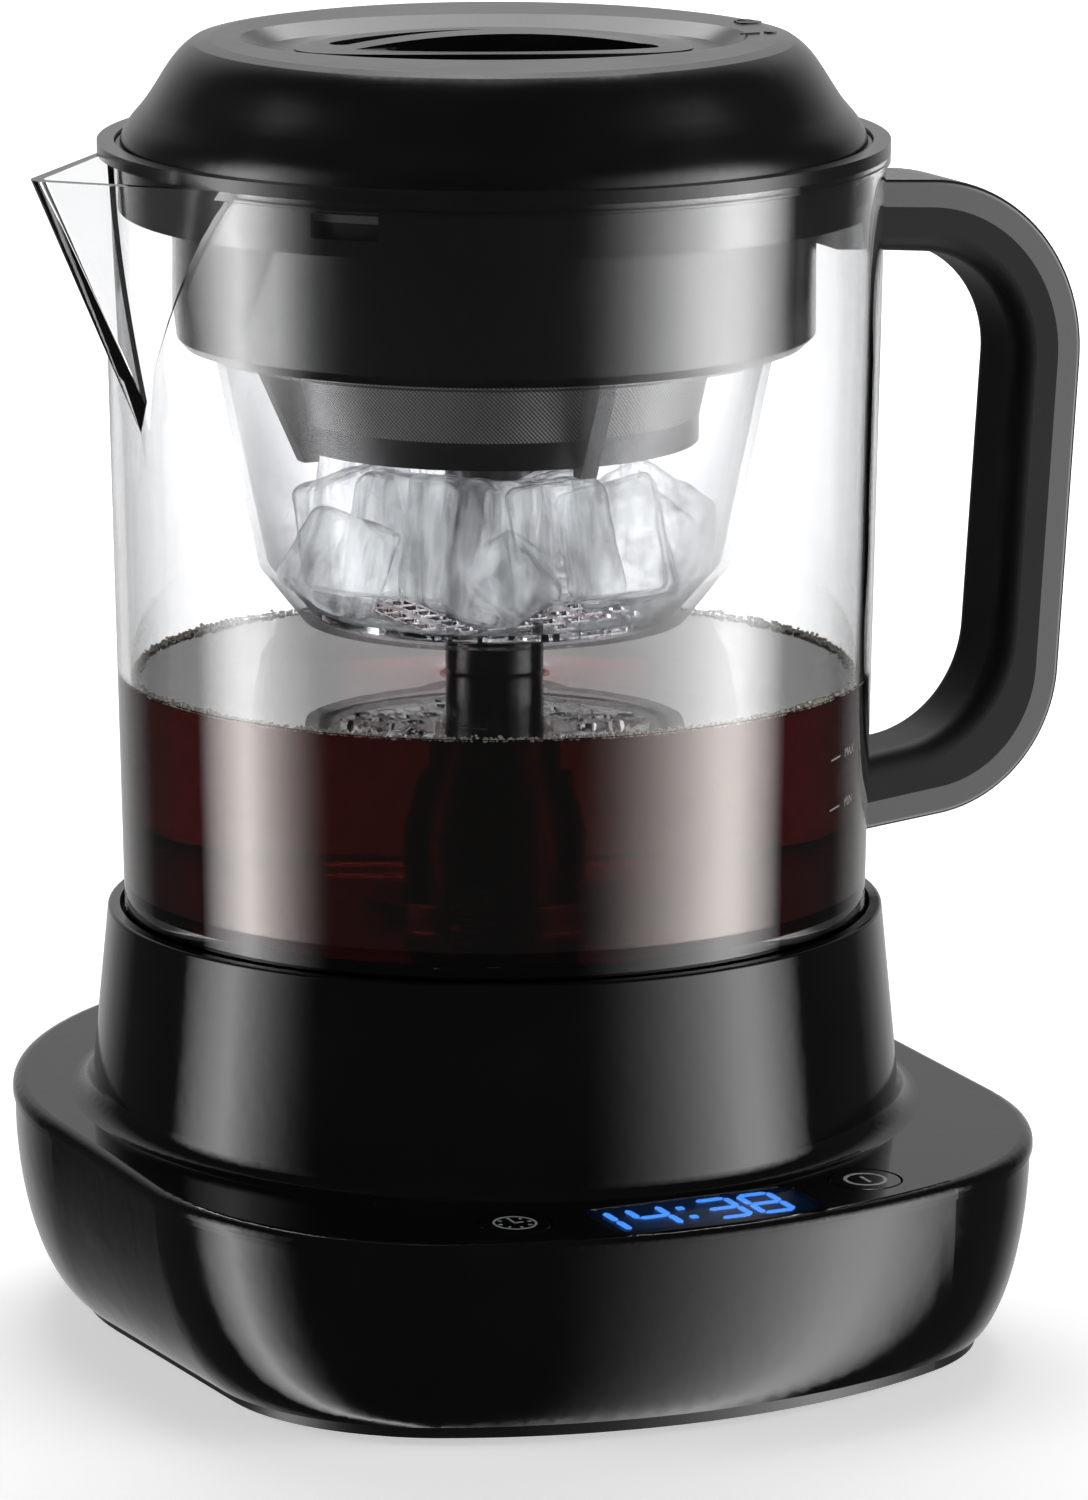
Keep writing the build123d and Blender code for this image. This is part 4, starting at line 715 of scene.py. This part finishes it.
# Each block of ice: distance from the axis, angle, height of its middle, three edges as shares
# of the middle size, and its turns about X, Y and Z
ICE_BLOCKS = (
    (27, -128, 166.5, (0.9, 0.95, 1.35), (4, 8, 20)),
    (34, -110, 161.5, (0.66, 0.66, 0.66), (40, 35, 15)),
    (28, -92, 167.0, (1.0, 0.9, 1.25), (-6, -5, 5)),
    (30, -60, 165.5, (1.05, 0.9, 1.15), (-12, 14, 55)),
    (30, -24, 162.5, (1.1, 1.0, 0.95), (18, -20, 10)),
    (36, -2, 161.5, (0.7, 0.75, 0.7), (30, 20, 40)),
    (27, 18, 166.0, (0.95, 0.95, 1.25), (-6, 12, 50)),
    (27, 55, 166.5, (1.0, 0.95, 1.3), (5, -7, 25)),
    (27, 92, 166.5, (0.95, 1.0, 1.3), (-9, 6, 70)),
    (27, 130, 166.5, (1.0, 0.95, 1.3), (6, 9, 35)),
    (28, 168, 165.0, (0.95, 1.0, 1.2), (-10, -8, 5)),
    (39, -168, 162.5, (0.7, 0.8, 0.95), (14, 22, 30)),
    (28, -158, 167.0, (0.95, 0.9, 1.25), (8, 8, 65)),
)


class BREW_OT_ice(bpy.types.Operator):
    """Fills the ice basket with blocks of clear ice"""
    bl_idname = "coffee_maker.ice"
    bl_label = "Add the ice"
    bl_options = {"REGISTER", "UNDO"}

    def execute(self, context):
        s = context.scene.coffee_ice
        ice = clear_ice()
        for number, block in enumerate(ICE_BLOCKS, 1):
            finish(self.block(s, number, *block), ice, "ice")
        return {"FINISHED"}

    def block(self, s, number, far, around, height, edges, turns):
        """A cube with its corners moved, its edges rounded and melted dents in its faces."""
        bpy.ops.mesh.primitive_cube_add(size=s.size)
        piece = named(f"ice_block_{number:02d}")
        edit(piece)
        bpy.ops.transform.vertex_random(offset=0.09 * s.size, seed=number, uniform=1.0, normal=0.0)
        leave_edit()
        piece.scale = edges
        piece.rotation_euler = [math.radians(t) for t in turns]
        angle = math.radians(around)
        piece.location = (far * MM * math.cos(angle), far * MM * math.sin(angle), height * MM)
        settle(piece)
        edge = piece.modifiers.new("melted_edges", "BEVEL")
        edge.width, edge.segments, edge.limit_method = 0.11 * s.size, 3, "NONE"
        facets = piece.modifiers.new("facets", "SUBSURF")
        facets.subdivision_type = "SIMPLE"
        facets.levels = facets.render_levels = 4
        dents = bpy.data.textures.new(f"ice_dents_{number:02d}", "CLOUDS")
        dents.noise_scale = 5 * MM
        dents.noise_depth = 1
        melt = piece.modifiers.new("melt", "DISPLACE")
        melt.texture = dents
        melt.texture_coords = "LOCAL"
        melt.strength = s.dents
        melt.mid_level = 0.5
        apply_modifiers(piece)
        smooth(piece, 60)
        return piece


def on_deck(x, y, lift=0.0):
    """Place on the sloping deck: x and y in millimetres, lift in metres square to it."""
    tilt = Matrix.Rotation(math.atan(DECK_SLOPE), 4, "X")
    spot = Matrix.Translation((x * MM, y * MM, (DECK_Z + DECK_SLOPE * y) * MM))
    return spot @ tilt @ Matrix.Translation((0, 0, lift))


def join(name, pieces):
    pick(*pieces)
    bpy.ops.object.join()
    return named(name)


def flat_ring(radius, width, thick):
    """Flat printed ring: a disc, inset, opened and drawn up."""
    bpy.ops.mesh.primitive_circle_add(vertices=72, radius=radius, fill_type="NGON")
    ring = named("ring")
    edit(ring)
    bpy.ops.mesh.inset(thickness=width)
    bpy.ops.mesh.delete(type="FACE")
    bpy.ops.mesh.select_all(action="SELECT")
    bpy.ops.mesh.extrude_region_move(TRANSFORM_OT_translate={"value": (0, 0, thick)})
    close_shell(1e-6)
    leave_edit()
    return ring


def flat_bar(x, y, long, wide, turn, thick):
    """Flat printed stroke about (x, y), turned in degrees, with rounded ends."""
    bpy.ops.mesh.primitive_plane_add(size=1.0)
    bar = named("bar")
    edit(bar)
    bpy.ops.transform.resize(value=(long, wide, 1))
    bpy.ops.mesh.bevel(offset=0.4 * wide, segments=3, affect="VERTICES")
    bpy.ops.mesh.select_all(action="SELECT")
    bpy.ops.mesh.extrude_region_move(TRANSFORM_OT_translate={"value": (0, 0, thick)})
    close_shell(1e-6)
    leave_edit()
    settle(bar, Matrix.Translation((x, y, 0)) @ Matrix.Rotation(math.radians(turn), 4, "Z"))
    return bar


class BREW_OT_level_marks(bpy.types.Operator):
    """Prints the faint level marks on the pitcher"""
    bl_idname = "coffee_maker.level_marks"
    bl_label = "Print the level marks"
    bl_options = {"REGISTER", "UNDO"}

    def execute(self, context):
        s = context.scene.coffee_marks
        around = s.level_azimuth
        lines = []
        for word, height in (("MAX", s.level_max), ("MIN", s.level_min)):
            bpy.ops.object.text_add()
            text = bpy.context.object
            text.data.body = word
            text.data.size = s.level_letter
            text.data.align_x, text.data.align_y = "CENTER", "CENTER"
            text.data.extrude = 0.5 * s.proud
            bpy.ops.object.convert(target="MESH")
            high = s.level_letter
            bar = flat_bar(-3.2 * high, 0, 2.2 * high, 0.14 * high, 0, s.proud)
            lines.append(join(f"level_{word}", [bpy.context.scene.objects[text.name], bar]))
            upright = Matrix.Rotation(around + math.pi / 2, 4, "Z") @ Matrix.Rotation(math.pi / 2, 4, "X")
            out = jug_bore(height) + JUG_WALL * MM
            spot = Matrix.Translation((out * math.cos(around), out * math.sin(around), height))
            settle(lines[-1], spot @ upright)
        marks = join("level_marks", lines)
        finish(marks, faint_ink(), "pitcher")
        return {"FINISHED"}


class BREW_OT_lid_marks(bpy.types.Operator):
    """Raises the lid's lock signs: a padlock, and a bar with a stop"""
    bl_idname = "coffee_maker.lid_marks"
    bl_label = "Raise the lid's marks"
    bl_options = {"REGISTER", "UNDO"}

    def execute(self, context):
        s = context.scene.coffee_marks
        _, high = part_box("lid_dome")
        thick = s.lid_mark_thickness
        body = flat_bar(0, 0, LOCK_LONG * MM, LOCK_WIDE * MM, 0, thick)
        shackle = flat_ring(SHACKLE_R * MM, SHACKLE_LINE * MM, thick)
        settle(shackle, Matrix.Translation((0, SHACKLE_Y * MM, 0)))
        sign_y = TURN_SIGN_Y * MM
        bar = flat_bar(TURN_BAR_X * MM, sign_y, TURN_BAR_LONG * MM, TURN_BAR_WIDE * MM, 0, thick)
        stop = flat_bar(TURN_STOP_X * MM, sign_y, TURN_STOP_SIDE * MM, TURN_STOP_SIDE * MM, 0, thick)
        marks = join("lid_marks", [body, shackle, bar, stop])
        settle(marks, Matrix.Translation((LID_MARK_X * MM, LID_MARK_Y * MM, high.z - SUNK * MM)))
        finish(marks, satin_black_pp(context.scene.coffee_finishes), "lid")
        return {"FINISHED"}


class BREW_OT_icons(bpy.types.Operator):
    """Prints a clock on the left button and a power sign on the right one"""
    bl_idname = "coffee_maker.icons"
    bl_label = "Print the icons"
    bl_options = {"REGISTER", "UNDO"}

    def execute(self, context):
        s = context.scene.coffee_marks
        ink = printed_ink(context.scene.coffee_finishes)
        r, line, thick = s.icon_radius, s.icon_line, s.proud
        clock = [flat_ring(r, line, thick)]
        for k in range(8):
            angle = math.radians(45 * k)
            x, y = 0.72 * r * math.cos(angle), 0.72 * r * math.sin(angle)
            clock.append(flat_bar(x, y, 0.2 * r, 1.2 * line, 45 * k, thick))
        clock.append(flat_bar(0, 0.26 * r, 0.56 * r, line, 90, thick))
        clock.append(flat_bar(0.2 * r, 0, 0.42 * r, line, 0, thick))
        power = [flat_ring(r, 1.7 * line, thick), flat_bar(0, 0, 0.95 * r, 1.7 * line, 90, thick)]
        for name, strokes, x, body in (("timer_icon", clock, -BUTTON_X, "timer_button"),
                                       ("power_icon", power, BUTTON_X, "power_button")):
            icon = join(name, strokes)
            settle(icon, on_deck(x, BUTTON_Y, INK_LIFT * MM))
            finish(icon, ink, body)
        return {"FINISHED"}


def bearing(tree, x, y, azimuth):
    """Angle round the pitcher's axis from straight behind it, 0 to pi on both sides."""
    away_x, away_y = math.sin(azimuth), math.cos(azimuth)
    away = calc(tree, "ADD", calc(tree, "MULTIPLY", x, away_x), calc(tree, "MULTIPLY", y, away_y))
    right = calc(tree, "SUBTRACT", calc(tree, "MULTIPLY", x, away_y), calc(tree, "MULTIPLY", y, away_x))
    return calc(tree, "ARCTAN2", right, away)


def studio_sky(world, azimuth):
    """White backdrop behind the pitcher, dark in front of it and a tall soft light on each side."""
    world.use_nodes = True
    tree = world.node_tree
    tree.nodes.clear()
    direction = add(tree, "ShaderNodeTexCoord").outputs["Generated"]
    x, y, z = add(tree, "ShaderNodeSeparateXYZ", {"Vector": direction}).outputs
    around = bearing(tree, x, y, azimuth)
    path = add(tree, "ShaderNodeLightPath")
    through = path.outputs["Is Transmission Ray"]
    backdrop = span(tree, calc(tree, "ABSOLUTE", around), BACKDROP_EDGE, BACKDROP_END, 1.0, 0.0)
    sky = calc(tree, "MULTIPLY", backdrop, span(tree, through, 0, 1, BACKDROP_GLOSS, 1.0))
    low = span(tree, z, LIGHT_TOP, LIGHT_FADE, 0.0, 1.0)
    for side, (outer, inner, fade) in ((-1, LEFT_LIGHT), (1, RIGHT_LIGHT)):
        angle = calc(tree, "MULTIPLY", around, side)
        start, full = (outer + step for step in LIGHT_EDGE)
        edge = span(tree, angle, start, full, 0.0, 1.0)
        slope = calc(tree, "POWER", span(tree, angle, fade, inner, 0.0, 1.0), 2.0)
        strip = calc(tree, "MULTIPLY", calc(tree, "MULTIPLY", edge, slope), low)
        sky = calc(tree, "ADD", sky, calc(tree, "MULTIPLY", strip, LIGHT_STRENGTH))
    sky = calc(tree, "ADD", sky, ROOM)
    studio = add(tree, "ShaderNodeBackground", {"Color": (1, 1, 1, 1), "Strength": sky})
    white = add(tree, "ShaderNodeBackground", {"Color": (1, 1, 1, 1), "Strength": 1.0})
    mixed = add(tree, "ShaderNodeMixShader", {0: path.outputs["Is Camera Ray"], 1: studio.outputs[0],
                                              2: white.outputs[0]})
    add(tree, "ShaderNodeOutputWorld", {"Surface": mixed.outputs[0]})


def pale_floor(azimuth):
    """Matt white board: shows its shadow, is lifted to white where the camera sees it, also through the
    pitcher, and shows none of itself in polished black, so that the side lights reach down there."""
    made, tree, principled, place, output = shader("board_white_matt", Roughness=0.8, Specular_IOR_Level=0.2)
    tint(tree, principled, place, 3 * MM, linear("E9E9E9"), linear("F1F1F1"), 3.0)
    path = add(tree, "ShaderNodeLightPath")
    x, y, _ = add(tree, "ShaderNodeSeparateXYZ", {"Vector": place}).outputs
    around = calc(tree, "ABSOLUTE", bearing(tree, x, y, azimuth))
    backdrop = span(tree, around, BACKDROP_EDGE, BACKDROP_END, 1.0, 0.0)
    let_through = path.outputs["Is Transmission Ray"]
    through = calc(tree, "MULTIPLY", let_through, backdrop)
    seen = calc(tree, "MAXIMUM", path.outputs["Is Camera Ray"], through)
    reach = add(tree, "ShaderNodeVectorMath", {0: place}, operation="LENGTH").outputs["Value"]
    raised = calc(tree, "MULTIPLY", seen, span(tree, reach, *SHADOW_REACH, FLOOR_LIFT, FLOOR_LIFT_FAR))
    lift = add(tree, "ShaderNodeEmission", {"Color": (1, 1, 1, 1), "Strength": raised})
    lifted = add(tree, "ShaderNodeAddShader", {0: principled.outputs[0], 1: lift.outputs[0]})
    # a ray that glass let through counts as glossy too
    mirrored = calc(tree, "SUBTRACT", path.outputs["Is Glossy Ray"], let_through)
    hidden = calc(tree, "MAXIMUM", mirrored, calc(tree, "SUBTRACT", let_through, through))
    gone = add(tree, "ShaderNodeBsdfTransparent")
    mixed = add(tree, "ShaderNodeMixShader", {0: hidden, 1: lifted.outputs[0], 2: gone.outputs[0]})
    tree.links.new(mixed.outputs[0], output.inputs["Surface"])
    return made


class BREW_OT_stage(bpy.types.Operator):
    """Sets the floor, the light and the camera at the photograph's angle"""
    bl_idname = "coffee_maker.stage"
    bl_label = "Set the stage"
    bl_options = {"REGISTER", "UNDO"}

    def execute(self, context):
        scene, s = context.scene, context.scene.coffee_camera
        scene.view_settings.view_transform = "Standard"
        scene.world = scene.world or bpy.data.worlds.new("studio")
        studio_sky(scene.world, s.azimuth)
        bpy.ops.mesh.primitive_grid_add(x_subdivisions=8, y_subdivisions=8, size=FLOOR_SIZE)
        floor = named("floor")
        floor.data.materials.append(pale_floor(s.azimuth))
        a = s.azimuth
        spot = Vector((LAMP_AWAY * math.sin(a), LAMP_AWAY * math.cos(a), LAMP_HEIGHT))
        aim = spot.to_track_quat("Z", "Y").to_euler()
        bpy.ops.object.light_add(type="AREA", location=spot, rotation=aim)
        lamp = bpy.context.object
        lamp.name = "back_softbox"
        lamp.data.shape, lamp.data.size, lamp.data.energy = "SQUARE", LAMP_SIZE, LAMP_POWER
        bpy.ops.object.camera_add(location=(-s.distance * math.sin(a), -s.distance * math.cos(a), s.height),
                                  rotation=(math.pi / 2 - s.pitch, 0, -a - s.yaw))
        camera = bpy.context.object
        camera.name = "camera"
        camera.data.sensor_fit = "AUTO"
        camera.data.sensor_width = SENSOR
        camera.data.lens = s.focal_pixels * SENSOR / max(PHOTO_SIZE)
        camera.data.clip_start, camera.data.clip_end = CLIP
        scene.camera = camera
        return {"FINISHED"}


class BREW_PT_panel(bpy.types.Panel):
    """Lists the steps and their settings"""
    bl_idname = "BREW_PT_panel"
    bl_label = "Cold brew coffee maker"
    bl_space_type = "VIEW_3D"
    bl_region_type = "UI"
    bl_category = "Coffee maker"

    def draw(self, context):
        layout = self.layout
        for step, group in STEPS:
            layout.operator(step)
            if group:
                settings = getattr(context.scene, group)
                for name in settings.__annotations__:
                    layout.prop(settings, name)


STEPS = (("coffee_maker.stage", "coffee_camera"), ("coffee_maker.finishes", "coffee_finishes"),
         ("coffee_maker.brew", "coffee_brew"), ("coffee_maker.ice", "coffee_ice"),
         ("coffee_maker.icons", "coffee_marks"), ("coffee_maker.lid_marks", None),
         ("coffee_maker.level_marks", None))
GROUPS = {"coffee_camera": CameraSettings, "coffee_finishes": FinishSettings, "coffee_brew": BrewSettings,
          "coffee_ice": IceSettings, "coffee_marks": MarkSettings}
CLASSES = (*GROUPS.values(), BREW_OT_stage, BREW_OT_finishes, BREW_OT_brew, BREW_OT_ice, BREW_OT_icons,
           BREW_OT_lid_marks, BREW_OT_level_marks, BREW_PT_panel)


def register():
    for cls in CLASSES:
        bpy.utils.register_class(cls)
    for name, group in GROUPS.items():
        setattr(bpy.types.Scene, name, PointerProperty(type=group))


def unregister():
    for name in GROUPS:
        delattr(bpy.types.Scene, name)
    for cls in reversed(CLASSES):
        bpy.utils.unregister_class(cls)


def main():
    register()
    bpy.ops.coffee_maker.stage()
    bpy.ops.coffee_maker.finishes()
    bpy.ops.coffee_maker.brew()
    bpy.ops.coffee_maker.ice()
    bpy.ops.coffee_maker.icons()
    bpy.ops.coffee_maker.lid_marks()
    bpy.ops.coffee_maker.level_marks()


if __name__ == "__main__":
    main()
